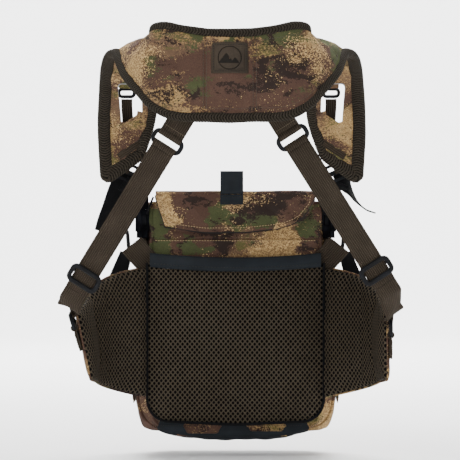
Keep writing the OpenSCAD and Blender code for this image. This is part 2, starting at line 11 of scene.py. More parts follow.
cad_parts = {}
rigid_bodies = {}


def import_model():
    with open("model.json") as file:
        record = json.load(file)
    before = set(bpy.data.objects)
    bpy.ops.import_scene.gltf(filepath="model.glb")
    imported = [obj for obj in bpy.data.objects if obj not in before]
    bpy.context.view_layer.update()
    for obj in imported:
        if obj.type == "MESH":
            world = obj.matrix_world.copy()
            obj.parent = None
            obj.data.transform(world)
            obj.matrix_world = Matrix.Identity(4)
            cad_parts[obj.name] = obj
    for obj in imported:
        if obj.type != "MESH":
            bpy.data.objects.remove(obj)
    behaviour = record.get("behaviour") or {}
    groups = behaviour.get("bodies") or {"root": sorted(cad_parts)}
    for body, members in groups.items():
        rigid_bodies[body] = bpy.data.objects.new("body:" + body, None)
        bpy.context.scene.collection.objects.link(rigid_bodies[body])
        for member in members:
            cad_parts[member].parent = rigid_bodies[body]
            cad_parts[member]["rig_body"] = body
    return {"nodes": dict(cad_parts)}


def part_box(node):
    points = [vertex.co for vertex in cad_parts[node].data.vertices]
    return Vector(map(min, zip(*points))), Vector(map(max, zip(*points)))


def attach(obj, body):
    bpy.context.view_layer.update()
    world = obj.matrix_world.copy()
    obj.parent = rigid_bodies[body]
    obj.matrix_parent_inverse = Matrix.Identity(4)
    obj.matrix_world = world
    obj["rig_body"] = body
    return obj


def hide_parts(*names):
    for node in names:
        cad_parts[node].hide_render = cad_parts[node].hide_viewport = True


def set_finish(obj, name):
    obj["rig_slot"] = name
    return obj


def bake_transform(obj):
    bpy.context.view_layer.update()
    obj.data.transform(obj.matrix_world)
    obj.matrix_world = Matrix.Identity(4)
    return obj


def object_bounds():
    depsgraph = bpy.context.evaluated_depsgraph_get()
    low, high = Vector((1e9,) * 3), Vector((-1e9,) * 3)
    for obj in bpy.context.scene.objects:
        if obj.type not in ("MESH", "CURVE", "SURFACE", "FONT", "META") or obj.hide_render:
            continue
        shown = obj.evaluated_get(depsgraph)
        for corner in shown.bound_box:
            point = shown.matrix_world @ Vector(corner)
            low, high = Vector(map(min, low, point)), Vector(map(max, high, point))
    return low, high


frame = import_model()
cad_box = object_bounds()
NODES = frame["nodes"]
MM = 0.001
SIDES = (("left", -1), ("right", 1))

# ---------------------------------------------------------------- camera, stage and light

# Camera: its distance from the chest face, its place beside and above the origin, and its turn
CAMERA_AT = (0.0173, -2.6579, 0.1238)
CAMERA_TURN = math.radians(0.5)
SENSOR = 36
LENS = SENSOR * 2448 / 460

cam = bpy.data.objects.new("camera", bpy.data.cameras.new("camera"))
bpy.context.collection.objects.link(cam)
cam.location = CAMERA_AT
cam.rotation_euler = (math.pi / 2, 0, CAMERA_TURN)
cam.data.lens = LENS
cam.data.sensor_width = SENSOR
cam.data.clip_end = 60
bpy.context.scene.camera = cam


def area_light(name, at, aim, size, power):
    data = bpy.data.lights.new(name, "AREA")
    data.shape = "RECTANGLE"
    data.size, data.size_y = size
    data.energy = power
    obj = bpy.data.objects.new(name, data)
    bpy.context.collection.objects.link(obj)
    obj.location = at
    obj.rotation_euler = (Vector(aim) - Vector(at)).to_track_quat("-Z", "Y").to_euler()


area_light("key", (-1.3, -2.3, 2.3), (0, -0.1, 0.12), (1.1, 1.1), 56)
area_light("fill", (1.9, -2.3, 0.8), (0, -0.1, 0.1), (1.4, 1.4), 12)
area_light("front", (0.1, -3.4, 0.3), (0, -0.1, 0.1), (1.0, 0.8), 7)
area_light("top", (0.2, 0.2, 2.4), (0, 0, 0.1), (1.4, 1.4), 30)
area_light("back", (-0.4, 2.3, 1.2), (0, 0, 0.1), (1.8, 1.2), 22)
area_light("backdrop", (0, 1.5, 3.4), (0, 4.4, 0.5), (3.0, 1.0), 620)

world = bpy.data.worlds.new("world")
bpy.context.scene.world = world
world.use_nodes = True
sky = world.node_tree.nodes["Background"].inputs
sky["Color"].default_value, sky["Strength"].default_value = (1, 1, 1, 1), 0.38


# ---------------------------------------------------------------- materials

def lin(r, g, b):
    """Linear colour of an sRGB colour given in 0 to 255."""
    return tuple((c / 255 / 12.92) if c / 255 <= 0.04045 else ((c / 255 + 0.055) / 1.055) ** 2.4
                 for c in (r, g, b)) + (1.0,)


class Shader:
    """A Principled material with short calls for the nodes that feed it."""

    def __init__(self, name, rough=0.8, spec=0.3, **fixed):
        self.mat = bpy.data.materials.new(name)
        self.mat.use_nodes = True
        self.nt = self.mat.node_tree
        self.out = self.nt.nodes["Principled BSDF"]
        self.out.inputs["Roughness"].default_value = rough
        self.out.inputs["Specular IOR Level"].default_value = spec
        for key, value in fixed.items():
            self.out.inputs[key.replace("_", " ").title()].default_value = value
        self.coord = self.nt.nodes.new("ShaderNodeTexCoord")

    def put(self, kind, inputs=(), **props):
        n = self.nt.nodes.new(kind)
        for key, value in props.items():
            setattr(n, key, value)
        for key, value in dict(inputs).items():
            self.link(value, n.inputs[key])
        return n

    def link(self, value, socket):
        if isinstance(value, bpy.types.NodeSocket):
            self.nt.links.new(value, socket)
        elif isinstance(value, bpy.types.Node):
            self.nt.links.new(value.outputs[0], socket)
        else:
            socket.default_value = value

    def math(self, op, a, b=0.0, c=0.0):
        return self.put("ShaderNodeMath", {0: a, 1: b, 2: c}, operation=op).outputs[0]

    add, sub = partialmethod(math, "ADD"), partialmethod(math, "SUBTRACT")
    mul, div = partialmethod(math, "MULTIPLY"), partialmethod(math, "DIVIDE")
    mul_add = partialmethod(math, "MULTIPLY_ADD")
    size, rest = partialmethod(math, "ABSOLUTE"), partialmethod(math, "FRACT")

    def wave(self, kind, angle):
        """A sine or cosine between 0 and 1."""
        return self.mul_add(self.math(kind, angle), 0.5, 0.5)

    def obj(self, scale=(1, 1, 1), turn=(0, 0, 0), move=(0, 0, 0)):
        return self.put("ShaderNodeMapping", {"Scale": scale, "Rotation": turn, "Location": move,
                                              "Vector": self.coord.outputs["Object"]}).outputs[0]

    def uv(self):
        s = self.put("ShaderNodeSeparateXYZ", {0: self.coord.outputs["UV"]})
        return s.outputs[0], s.outputs[1]

    def noise(self, vector, scale, detail=3.0, rough=0.5, warp=0.0):
        return self.put("ShaderNodeTexNoise", {"Vector": vector, "Scale": scale, "Detail": detail,
                                               "Roughness": rough, "Distortion": warp}).outputs[0]

    def step(self, value, low, high, to_low=0.0, to_high=1.0):
        return self.put("ShaderNodeMapRange", {0: value, 1: low, 2: high, 3: to_low, 4: to_high},
                        interpolation_type="SMOOTHSTEP").outputs[0]

    def mix(self, factor, a, b, mode="MIX"):
        n = self.put("ShaderNodeMix", data_type="RGBA", blend_type=mode)
        self.link(factor, n.inputs[0])
        self.link(a, n.inputs[6])
        self.link(b, n.inputs[7])
        return n.outputs[2]

    def bump(self, height, distance, strength=1.0):
        return self.put("ShaderNodeBump", {"Height": height, "Distance": distance,
                                           "Strength": strength}).outputs[0]

    def finish(self, colour, rough, normal=None):
        self.link(colour, self.out.inputs["Base Color"])
        self.link(rough, self.out.inputs["Roughness"])
        if normal is not None:
            self.link(normal, self.out.inputs["Normal"])
        return self.mat


TAN, PALE, RED_BROWN = lin(162, 132, 88), lin(188, 158, 110), lin(82, 62, 53)
DARK_BROWN, OLIVE, MOSS, BROWN = lin(48, 40, 37), lin(92, 89, 54), lin(72, 77, 51), lin(104, 82, 65)
DOTS = lin(122, 96, 68)

# Where the print's larger patches fall on the yoke, the arms, the flap and the pack: each one's
# centre and radius in mm, and how hard it pulls the print towards its colour
PATCHES = {
    "brown": [((-20, 5, 146), 60, 0.18), ((44, 5, 150), 60, 0.18), ((-40, 8, 112), 46, 0.18)],
    "red": [((-18, -232, 255), 52, 0.13), ((48, -228, 250), 38, 0.13), ((100, -190, 290), 28, 0.1),
            ((-44, 5, 150), 26, 0.23), ((-52, 5, 132), 20, 0.23), ((40, 5, 160), 34, 0.23),
            ((84, 5, 140), 24, 0.22), ((-30, 8, 118), 30, 0.22), ((-100, 30, -70), 55, 0.25),
            ((122, -30, 262), 20, 0.13), ((-118, -20, 214), 20, 0.12), ((-40, 11, 104), 22, 0.22),
            ((84, 11, 106), 16, 0.25), ((108, 40, -50), 26, 0.2)],
    "green": [((52, -230, 312), 34, 0.17), ((-38, -230, 314), 14, 0.13),
              ((108, -170, 305), 26, 0.15), ((-87, 6, 130), 17, 0.32), ((-18, 5, 148), 13, 0.27),
              ((-24, 5, 132), 14, 0.27),
              ((8, 5, 133), 15, 0.27), ((34, 5, 134), 15, 0.27), ((80, 8, 124), 14, 0.25),
              ((-84, 10, 108), 14, 0.28), ((-110, -40, 285), 24, 0.2), ((112, -10, 222), 16, 0.13),
              ((-50, 11, 112), 12, 0.25), ((12, 11, 108), 11, 0.2)],
    "tan": [((-92, -215, 290), 36, 0.2), ((86, -215, 296), 24, 0.15), ((-80, 5, 154), 13, 0.42),
            ((-74, 5, 138), 11, 0.42), ((48, 8, 119), 17, 0.36), ((34, 11, 106), 20, 0.36),
            ((56, 11, 107), 18, 0.34), ((125, -30, 240), 22, 0.14), ((-125, -30, 235), 26, 0.14),
            ((100, 30, -78), 18, 0.2)],
    "dark": [((44, -230, 280), 30, 0.13), ((84, -215, 262), 20, 0.1), ((14, 5, 145), 18, 0.2),
             ((44, 5, 146), 20, 0.2), ((-52, 5, 158), 13, 0.13), ((-14, 8, 121), 18, 0.16),
             ((112, -20, 204), 18, 0.12), ((-112, -20, 200), 18, 0.12), ((80, 11, 106), 10, 0.15),
             ((-18, 11, 104), 14, 0.18)],
}


def camo_material():
    """Printed brushed fabric: ragged speckled patches of tan, browns and greens."""
    s = Shader("camo_print", rough=0.9, spec=0.04, Sheen_Weight=0.01, Sheen_Roughness=0.5)
    fine = s.noise(s.obj(), 1050, 1, 0.5)
    grain = s.noise(s.obj(scale=(1, 1, 1.3), turn=(0, 0.5, 0)), 400, 2, 0.6)
    speck = s.sub(s.mul_add(grain, 0.55, s.mul(fine, 0.45)), 0.5)

    # The patches' outlines wander by a centimetre or so
    reach = (0.045, 0.045, 0.03)
    wander = s.put("ShaderNodeTexNoise", {"Vector": s.obj(scale=(1, 1, 1.8)), "Scale": 48.0,
                                          "Detail": 4.0, "Roughness": 0.6}).outputs[1]
    at_print = s.put("ShaderNodeVectorMath", {0: wander, 1: reach, 2: s.coord.outputs["Object"]},
                     operation="MULTIPLY_ADD")
    at_print = s.put("ShaderNodeVectorMath", {0: at_print, 1: tuple(r / 2 for r in reach)},
                     operation="SUBTRACT")

    def placed(kind):
        total = None
        for at, radius, pull in PATCHES[kind]:
            far = s.put("ShaderNodeVectorMath", {0: at_print, 1: tuple(c * MM for c in at)},
                        operation="DISTANCE").outputs[1]
            near = s.step(far, radius * 0.35 * MM, radius * 1.35 * MM, pull, 0.0)
            total = near if total is None else s.add(total, near)
        return total

    pulls = {kind: placed(kind) for kind in PATCHES}
    others = s.add(pulls["red"], s.add(pulls["green"], pulls["dark"]))
    pulls["tan"] = s.sub(pulls["tan"], s.mul(others, 0.3))

    def patch(scale, offset, low, ragged, warp=0.5, soft=0.012, kind=None):
        spread = s.obj(scale=(1, 1, 2.0), turn=(0, 0.45, 0.1), move=offset)
        big = s.noise(spread, scale, 3, 0.55, warp)
        value = s.mul_add(speck, ragged, big)
        if kind:
            value = s.add(value, pulls[kind])
        return s.step(value, low - soft, low + soft)

    base = s.mix(s.step(speck, -0.04, 0.05), TAN, PALE)
    base = s.mix(patch(9, (2.2, 6, 4), 0.46, 1.3, 0.4, 0.03, "brown"), base, BROWN)
    base = s.mix(patch(15, (3.1, 0, 1), 0.58, 0.9, kind="green"), base, OLIVE)
    base = s.mix(patch(14, (7.7, 2, 5), 0.50, 0.6, kind="red"), base, RED_BROWN)
    base = s.mix(patch(17, (1.3, 4, 9), 0.62, 0.4, kind="green"), base, MOSS)
    base = s.mix(patch(24, (9.4, 1, 2), 0.60, 0.6, 1.4, kind="dark"), base, DARK_BROWN)
    island = s.mix(s.step(speck, -0.06, -0.01), DOTS, s.mix(s.step(speck, 0.02, 0.07), TAN, PALE))
    base = s.mix(patch(11, (5.0, 8, 3), 0.655, 1.1, kind="tan"), base, island)
    tone = s.step(s.noise(s.obj(), 25, 4), 0.3, 0.75, 0.93, 1.18)
    grey = s.put("ShaderNodeCombineColor", {0: tone, 1: tone, 2: tone})
    base = s.mix(1.0, base, grey, "MULTIPLY")
    weave = s.put("ShaderNodeTexWave", {"Vector": s.obj(turn=(0, 0.8, 0)), "Scale": 260.0,
                                        "Distortion": 1.0, "Detail": 1.0})
    height = s.mul_add(weave.outputs[1], 0.5, fine)
    base = s.mix(s.mul(s.step(fine, 0.35, 0.6, 1, 0), 0.3), base, DARK_BROWN)
    return s.finish(base, s.step(grain, 0.3, 0.7, 0.78, 0.92), s.bump(height, 0.0005, 0.7))


def mesh_material():
    """Open spacer mesh: round-cornered holes, painted near-black as shade, between twisted threads.
    """
    s = Shader("spacer_mesh", rough=0.8, spec=0.06)
    u, v = s.uv()
    pitch_u, pitch_v = 0.0052, 0.0061

    def cell(shift):
        du = s.sub(s.rest(s.add(s.div(u, pitch_u), shift)), 0.5)
        dv = s.sub(s.rest(s.add(s.div(v, pitch_v), shift)), 0.5)
        du, dv = s.size(du), s.size(dv)
        flat = s.add(s.mul(du, 1.12), s.mul(dv, 1.05))
        radial = s.math("SQRT", s.add(s.mul(du, du), s.mul(dv, dv)))
        return s.add(s.mul(flat, 0.55), s.mul(radial, 0.62))

    near = s.math("MINIMUM", cell(0.0), cell(0.5))
    wander = s.mul(s.sub(s.noise(s.obj(), 160, 2), 0.5), 0.10)
    edge = s.add(near, wander)
    solid = s.step(edge, 0.325, 0.405)
    fuzz = s.noise(s.obj(), 1500, 2, 0.7)
    thread = s.mix(fuzz, lin(52, 46, 38), lin(88, 79, 66))
    thread = s.mix(s.step(s.noise(s.obj(), 14, 3), 0.35, 0.7, 0, 0.6), thread, lin(70, 62, 50))
    # Painted shade: the holes are near-black, standing in for the shade down in the mesh's recesses
    colour = s.mix(solid, lin(9, 8, 7), thread)
    height = s.mul_add(fuzz, 0.12, s.step(edge, 0.28, 0.46))
    return s.finish(colour, 0.8, s.bump(height, 0.0016, 1.0))


KNIT_PITCH, KNIT_SLANT, KNIT_ROUND = 2.9, 0.55, 33.0  # rib spacing, its slant, and the way round
WEAVE_PITCH = 0.0011


def knit_material():
    """Dark ribbed knit: slanted ridges that meet along the binding's middle, with small gaps.
    Painted shade darkens the grooves, and the gaps near-black.
    """
    s = Shader("ribbed_knit", rough=0.85, spec=0.06, Sheen_Weight=0.01)
    u, v = s.uv()
    half = KNIT_ROUND * MM / 2
    fold = s.mul(s.size(s.sub(s.rest(s.div(u, half)), 0.5)), half * KNIT_SLANT)
    along = s.div(s.add(v, fold), KNIT_PITCH * MM)
    rib = s.wave("COSINE", s.mul(along, 2 * math.pi))
    row = s.mul_add(s.math("FLOOR", along), 0.5, s.div(u, 0.0022))
    gap = s.wave("SINE", s.mul(row, 2 * math.pi))
    hole = s.mul(s.step(rib, 0.0, 0.5, 1, 0), s.step(gap, 0.35, 0.85))
    fuzz = s.noise(s.obj(), 1300, 2, 0.7)
    top = s.mix(fuzz, lin(42, 38, 32), lin(62, 56, 48))
    # Painted shade: the grooves between the ribs are darker, and the gaps near-black
    groove = s.mix(s.step(rib, 0.0, 0.5), lin(29, 26, 22), top)
    colour = s.mix(hole, groove, lin(10, 9, 8))
    height = s.sub(s.mul_add(fuzz, 0.15, rib), s.mul(hole, 0.6))
    return s.finish(colour, 0.8, s.bump(height, 0.0006, 0.9))


def webbing_material(name, dark, light, rib_pitch=0.00215, rib_depth=0.00035):
    """Woven webbing with ridges along its length and a fine weave across them, with painted shade
    in the valleys between the ridges.
    """
    s = Shader(name, rough=0.88, spec=0.03, Sheen_Weight=0.01)
    u, v = s.uv()
    ridge = s.wave("SINE", s.mul(u, 2 * math.pi / rib_pitch))
    pick = s.wave("SINE", s.add(s.mul(v, 2 * math.pi / WEAVE_PITCH),
                                s.mul(s.math("FLOOR", s.div(u, rib_pitch)), 2.1)))
    fuzz = s.noise(s.obj(), 1100, 2, 0.7)
    wear = s.noise(s.obj(), 45, 3)
    colour = s.mix(s.mul_add(pick, 0.35, s.mul(fuzz, 0.65)), dark, light)
    # Painted shade: the valleys between the ridges are darkened towards a quarter of the dark
    # colour
    shade = tuple(c * 0.25 for c in dark[:3]) + (1,)
    colour = s.mix(s.step(ridge, 0.0, 0.45, 0.62, 0), colour, shade)
    colour = s.mix(s.step(wear, 0.45, 0.75, 0, 0.3), colour, light)
    height = s.add(ridge, s.mul(s.mul(pick, ridge), 0.35))
    return s.finish(colour, s.step(fuzz, 0.3, 0.7, 0.8, 0.95), s.bump(height, rib_depth, 1.0))


def coated_material(name, low, high, grain=900, rough=0.6):
    """Matt coated fabric or moulded rubber with a fine grain."""
    s = Shader(name, rough=rough, spec=0.16)
    fine = s.noise(s.obj(), grain, 3, 0.65)
    cloud = s.noise(s.obj(), 30, 3)
    colour = s.mix(s.step(s.mul_add(cloud, 0.6, s.mul(fine, 0.4)), 0.35, 0.65), low, high)
    return s.finish(colour, s.step(fine, 0.3, 0.7, rough - 0.08, rough + 0.12),
                    s.bump(fine, 0.0003, 0.6))


def plastic_material(name, spec):
    """Moulded black plastic, a little worn and bluish where it catches the light."""
    s = Shader(name, rough=0.68, spec=spec)
    fine = s.noise(s.obj(), 1600, 2, 0.6)
    smear = s.noise(s.obj(), 70, 3)
    colour = s.mix(s.step(smear, 0.4, 0.7), lin(11, 11, 13), lin(23, 24, 28))
    return s.finish(colour, s.step(smear, 0.35, 0.7, 0.62, 0.76), s.bump(fine, 0.00012, 0.5))


def thread_material(name, colour, shade):
    s = Shader(name, rough=0.7, spec=0.3)
    return s.finish(s.mix(s.noise(s.obj(), 900, 2), shade, colour), 0.7,
                    s.bump(s.noise(s.obj(), 2400, 2), 0.0002, 0.5))


# Each material by its short name, with the slot its pieces take
LOOKS = {
    "camo": (camo_material(), "camo_fabric"),
    "mesh": (mesh_material(), "mesh_foam"),
    "knit": (knit_material(), "binding_knit"),
    "webbing": (webbing_material("brown_webbing", lin(44, 38, 32), lin(69, 61, 52)), "webbing"),
    "black_webbing": (webbing_material("dark_webbing", lin(15, 15, 16), lin(27, 27, 28), 0.0011,
                                       0.00015), "dark_webbing"),
    "hypalon": (coated_material("coated_fabric", lin(19, 23, 27), lin(29, 34, 39)), "hypalon"),
    "patch": (coated_material("patch_rubber", lin(46, 39, 32), lin(63, 54, 44), 500, 0.65),
              "patch_rubber"),
    "groove": (coated_material("patch_groove", lin(22, 19, 16), lin(31, 27, 23), 500, 0.7),
               "patch_rubber"),
    "raw_edge": (coated_material("raw_edge", lin(96, 100, 104), lin(140, 143, 146), 900, 0.7),
                 "camo_fabric"),
    "plastic": (plastic_material("moulded_plastic", 0.16), "black_plastic"),
    "matt_plastic": (plastic_material("matt_plastic", 0.0), "black_plastic"),
    "tan_thread": (thread_material("tan_thread", lin(190, 165, 120), lin(120, 98, 70)),
                   "camo_fabric"),
    "dark_thread": (thread_material("dark_thread", lin(20, 19, 18), lin(9, 9, 9)), "dark_webbing"),
    "brown_thread": (thread_material("brown_thread", lin(84, 76, 66), lin(44, 38, 32)), "webbing"),
    "pale_thread": (thread_material("pale_thread", lin(128, 114, 92), lin(74, 64, 52)), "webbing"),
}


def dress(obj, look):
    """Gives a piece its material, smooth shading, and the material's slot."""
    obj.data.materials.clear()
    obj.data.materials.append(LOOKS[look][0])
    obj.data.polygons.foreach_set("use_smooth", [True] * len(obj.data.polygons))
    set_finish(obj, LOOKS[look][1])


# ---------------------------------------------------------------- curves and meshes

def arr(*points):
    return np.array(points, float)


def m_side(v, s):
    """Points or directions of the right side, mirrored for the left one."""
    return np.asarray(v, float) * np.array([s, 1, 1])


def unit(v):
    return v / (np.linalg.norm(v, axis=-1, keepdims=True) + 1e-12)


def smooth(points, k):
    """Catmull-Rom curve through the points, with k steps between each pair."""
    p = np.asarray(points, float)
    out = []
    for i in range(len(p) - 1):
        p0, p1, p2, p3 = p[max(i - 1, 0)], p[i], p[i + 1], p[min(i + 2, len(p) - 1)]
        for j in range(k):
            t = j / k
            out.append(0.5 * (2 * p1 + (p2 - p0) * t + (2 * p0 - 5 * p1 + 4 * p2 - p3) * t * t
                              + (3 * p1 - p0 - 3 * p2 + p3) * t ** 3))
    return np.array(out + [p[-1]])


def lengths(p):
    """Distance along the points from the first one."""
    return np.concatenate([[0], np.cumsum(np.linalg.norm(np.diff(p, axis=0), axis=1))])


def resample(p, step, closed=False):
    """Points spaced evenly along a line, about step apart, with extra columns carried along."""
    q = np.vstack([p, p[:1]]) if closed else p
    d = lengths(q[:, :3])
    n = max(int(round(d[-1] / step)), 2)
    at = np.linspace(0, d[-1], n + 1)
    out = np.stack([np.interp(at, d, q[:, k]) for k in range(q.shape[1])], 1)
    return out[:-1] if closed else out


def tangents(p, closed=False):
    if closed:
        return unit(np.roll(p, -1, 0) - np.roll(p, 1, 0))
    return unit(np.gradient(p, axis=0))


def piece(name, verts, faces, material, body="harness", uvs=None, second=None, mm=True, sharp=50):
    """A mesh piece in the row frame. uvs gives one (u, v) per vertex in metres, and second the
    faces that take a second material."""
    me = bpy.data.meshes.new(name)
    v = np.asarray(verts, float) * (MM if mm else 1)
    me.from_pydata([tuple(x) for x in v], [], [tuple(f) for f in faces])
    me.polygons.foreach_set("use_smooth", [True] * len(me.polygons))
    if uvs is not None:
        layer = me.uv_layers.new(name="UVMap")
        idx = np.zeros(len(me.loops), np.int32)
        me.loops.foreach_get("vertex_index", idx)
        layer.data.foreach_set("uv", (np.asarray(uvs, float)[idx]).astype(np.float32).ravel())
    me.materials.append(LOOKS[material][0])
    if second is not None:
        me.materials.append(LOOKS[second[0]][0])
        which = np.zeros(len(me.polygons), np.int32)
        which[list(second[1])] = 1
        me.polygons.foreach_set("material_index", which)
    me.validate()
    me.update()
    me.set_sharp_from_angle(angle=math.radians(sharp))
    obj = bpy.data.objects.new(name, me)
    bpy.context.collection.objects.link(obj)
    obj["body"] = body
    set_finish(obj, LOOKS[material][1])
    return obj


def box_mm(node):
    """The lowest and the highest corner of a CAD node, in mm."""
    return (np.array(c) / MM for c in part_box(node))


def done(obj, *nodes):
    """The finished piece rides on its body and stands for the CAD nodes."""
    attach(obj, obj["body"])
    if nodes:
        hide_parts(*nodes)
    return obj


def read_vertices(me, what="co"):
    """The mesh's vertex positions, or normals, one row each."""
    values = np.zeros(len(me.vertices) * 3)
    me.vertices.foreach_get(what, values)
    return values.reshape(-1, 3)


def write_vertices(me, co):
    me.vertices.foreach_set("co", co.astype(np.float32).ravel())
    me.update()


def fix_normals(obj):
    bm = bmesh.new()
    bm.from_mesh(obj.data)
    bmesh.ops.recalc_face_normals(bm, faces=bm.faces)
    bm.to_mesh(obj.data)
    bm.free()


def tube_faces(n, m, closed=False):
    """Faces of n rings of m points."""
    faces = []
    for i in range(n if closed else n - 1):
        a, b = i * m, ((i + 1) % n) * m
        for j in range(m):
            k = (j + 1) % m
            faces.append((a + j, b + j, b + k, a + k))
    if not closed:
        faces.append(tuple(range(m)))
        faces.append(tuple(range(n * m - 1, (n - 1) * m - 1, -1)))
    return faces


def quads(grid):
    """Faces between the neighbouring points of a grid."""
    corners = grid[:-1, :-1], grid[:-1, 1:], grid[1:, 1:], grid[1:, :-1]
    return list(zip(*(c.ravel() for c in corners)))


def rim_pairs(grid):
    """The grid's outermost points in order, each with the next one."""
    ring = [*grid[0, :-1], *grid[:-1, -1], *grid[-1, :0:-1], *grid[:0:-1, 0]]
    return list(zip(ring, ring[1:] + ring[:1]))


def closed_pad(name, front, back, uv, body, material, second=None, rim_second=True):
    """A closed form from a front and a back grid of the same shape, and its rim's points. The back,
    and the rim if rim_second, take the second material."""
    k = front.shape[0] * front.shape[1]
    grid = np.arange(k).reshape(front.shape[:2])
    faces = quads(grid)
    split = len(faces)
    faces += [tuple(x + k for x in f[::-1]) for f in faces]
    rim = rim_pairs(grid)
    last = len(faces) + (len(rim) if rim_second else 0)
    faces += [(b, a, a + k, b + k) for a, b in rim]
    verts = np.vstack([front.reshape(-1, 3), back.reshape(-1, 3)])
    obj = piece(name, verts, faces, material, body, np.vstack([uv.reshape(-1, 2)] * 2),
                None if second is None else (second, range(split, last)))
    fix_normals(obj)
    return obj, [a for a, _ in rim] + [a + k for a, _ in rim]


def strip(name, points, across, width, thick, material="webbing", body="harness", is_smooth=True,
          step=1.2):
    """Flat webbing along the points, its width along across, which is one direction or one each."""
    q = np.hstack([points, np.broadcast_to(across, np.shape(points))]).astype(float)
    q = resample(smooth(q, 6) if is_smooth else q, step)
    p, a = q[:, :3], unit(q[:, 3:])
    t = tangents(p)
    n = unit(np.cross(t, a))
    a = unit(np.cross(n, t))
    w, h = width / 2, thick / 2
    edge = min(h, 0.6)
    row = np.linspace(-w + edge, w - edge, 9)
    across_at = np.concatenate([row, [w], -row, [-w]])
    off_at = np.concatenate([np.full(9, h), [0], np.full(9, -h), [0]])
    m = len(across_at)
    v = p[:, None] + a[:, None] * across_at[None, :, None] + n[:, None] * off_at[None, :, None]
    d = lengths(p)
    uv = np.zeros((len(p), m, 2))
    uv[..., 0] = across_at[None] * MM
    uv[..., 1] = d[:, None] * MM
    return piece(name, v.reshape(-1, 3), tube_faces(len(p), m), material, body, uv.reshape(-1, 2),
                 sharp=60)


def stitches(name, path, normals, body="harness", material="dark_thread", pitch=3.2, length=2.1,
             r=0.32):
    """Dashes of thread along a path, each a small rounded bar that lies on the surface."""
    q = resample(np.hstack([path, np.broadcast_to(normals, np.shape(path))]).astype(float), pitch)
    p, n = q[:, :3], unit(q[:, 3:])
    t = tangents(p)
    b = unit(np.cross(n, t))
    n = unit(np.cross(t, b))
    ring = [(-0.5, 0.35), (-0.38, 0.85), (0, 1.0), (0.38, 0.85), (0.5, 0.35)]
    m, lift = 6, 0.15
    verts, faces = [], []
    for c, tt, bb, nn in zip(p[:-1] + np.diff(p, axis=0) / 2, t, b, n):
        base = len(verts)
        for s, k in ring:
            for j in range(m):
                ang = 2 * math.pi * j / m
                verts.append(c + tt * length * s + (bb * math.cos(ang) + nn * math.sin(ang)) * r * k
                             + nn * (lift - 0.35 * abs(s) * r))
        faces += [tuple(base + x for x in f) for f in tube_faces(len(ring), m)]
    return done(piece(name, verts, faces, material, body))


def oval(m, power):
    """A circle's m points, squared off as power falls below 1."""
    th = np.linspace(0, 2 * math.pi, m, endpoint=False)
    return [np.sign(c) * np.abs(c) ** power for c in (np.cos(th), np.sin(th))]


def ring_points(path, side, up, half_w, half_h, m=12, power=1.0):
    """Rings of m points round a path, half_w along side and half_h along up. A side or up is one
    direction or one for each point."""
    side, up = np.broadcast_to(side, path.shape), np.broadcast_to(up, path.shape)
    c, d = oval(m, power)
    return (path[:, None] + side[:, None] * (c * half_w)[None, :, None]
            + up[:, None] * (d * half_h)[None, :, None])


def tube(name, path, r, material, body="harness", step=1.6, rounds=3):
    """A round cord of radius r sewn along a path."""
    q = resample(np.asarray(path, float), step)
    for _ in range(rounds):
        q[1:-1] = (q[:-2] + 2 * q[1:-1] + q[2:]) / 4
    t = tangents(q)
    side = unit(np.cross(t, arr(0.02, 1, 0.03)))
    up = unit(np.cross(side, t))
    verts = ring_points(q, side, up, r, r, 10).reshape(-1, 3)
    obj = piece(name, verts, tube_faces(len(q), 10), material, body, sharp=80)
    fix_normals(obj)
    return done(obj)


def quarter(cx, cy, r, start, step):
    """Points of a quarter circle about (cx, cy), from an angle in degrees."""
    turns = [math.radians(start + a) for a in range(0, 91, step)]
    return [(cx + r * math.cos(a), cy + r * math.sin(a)) for a in turns]


def rounded_frame(name, node, s, centre, x_dir, y_dir, w, h, bar, depth, corner=5.0, bars=(),
                  posts=None):
    """A moulded frame: an oval bar swept round a rounded rectangle. bars holds straight bars across
    it, each as its height, its offset and its half sizes, and posts joins them to the frame."""
    z_dir = unit(np.cross(x_dir, y_dir))
    hw, hh = w / 2 - bar / 2, h / 2 - bar / 2
    r, m, power = min(corner, hh - 0.2), 14, 0.75
    pts = []
    for cx, cy, a0 in ((1, 1, 0), (-1, 1, 90), (-1, -1, 180), (1, -1, 270)):
        pts += quarter(cx * (hw - r), cy * (hh - r), r, a0, 10)
    flat = resample(arr(*[(x, y, 0) for x, y in pts]), 1.0, closed=True)
    t = tangents(flat, closed=True)
    out = np.stack([t[:, 1], -t[:, 0], 0 * t[:, 0]], 1)
    verts = [ring_points(flat, out, (0, 0, 1), bar / 2, depth / 2, m, power).reshape(-1, 3)]
    faces = tube_faces(len(flat), m, closed=True)
    lines = [([(x, y, z) for x in np.linspace(-half_l, half_l, 9)], (0, 1, 0), (0, 0, 1), half_h,
              half_z) for y, z, half_l, half_h, half_z in bars]
    if posts:
        at_x, z0, z1, half_x, half_y = posts
        lines += [([(side * at_x, 0, z) for z in np.linspace(z0, z1, 5)], (1, 0, 0), (0, 1, 0),
                   half_x, half_y) for side in (-1, 1)]
    for line, wide, high, half_w, half_h in lines:
        base = sum(len(v) for v in verts)
        verts.append(ring_points(arr(*line), wide, high, half_w, half_h, m, power).reshape(-1, 3))
        faces += [tuple(base + i for i in f) for f in tube_faces(len(line), m)]
    v = np.vstack(verts)
    v = centre + v[:, :1] * x_dir + v[:, 1:2] * y_dir + v[:, 2:] * z_dir
    obj = piece(name, m_side(v, s), faces, "plastic", NODES[node]["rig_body"], sharp=70)
    fix_normals(obj)
    return obj


def surface_of(obj):
    """Nearest-point tree of a piece as it stands, modifiers included."""
    deps = bpy.context.evaluated_depsgraph_get()
    return BVHTree.FromObject(obj, deps)


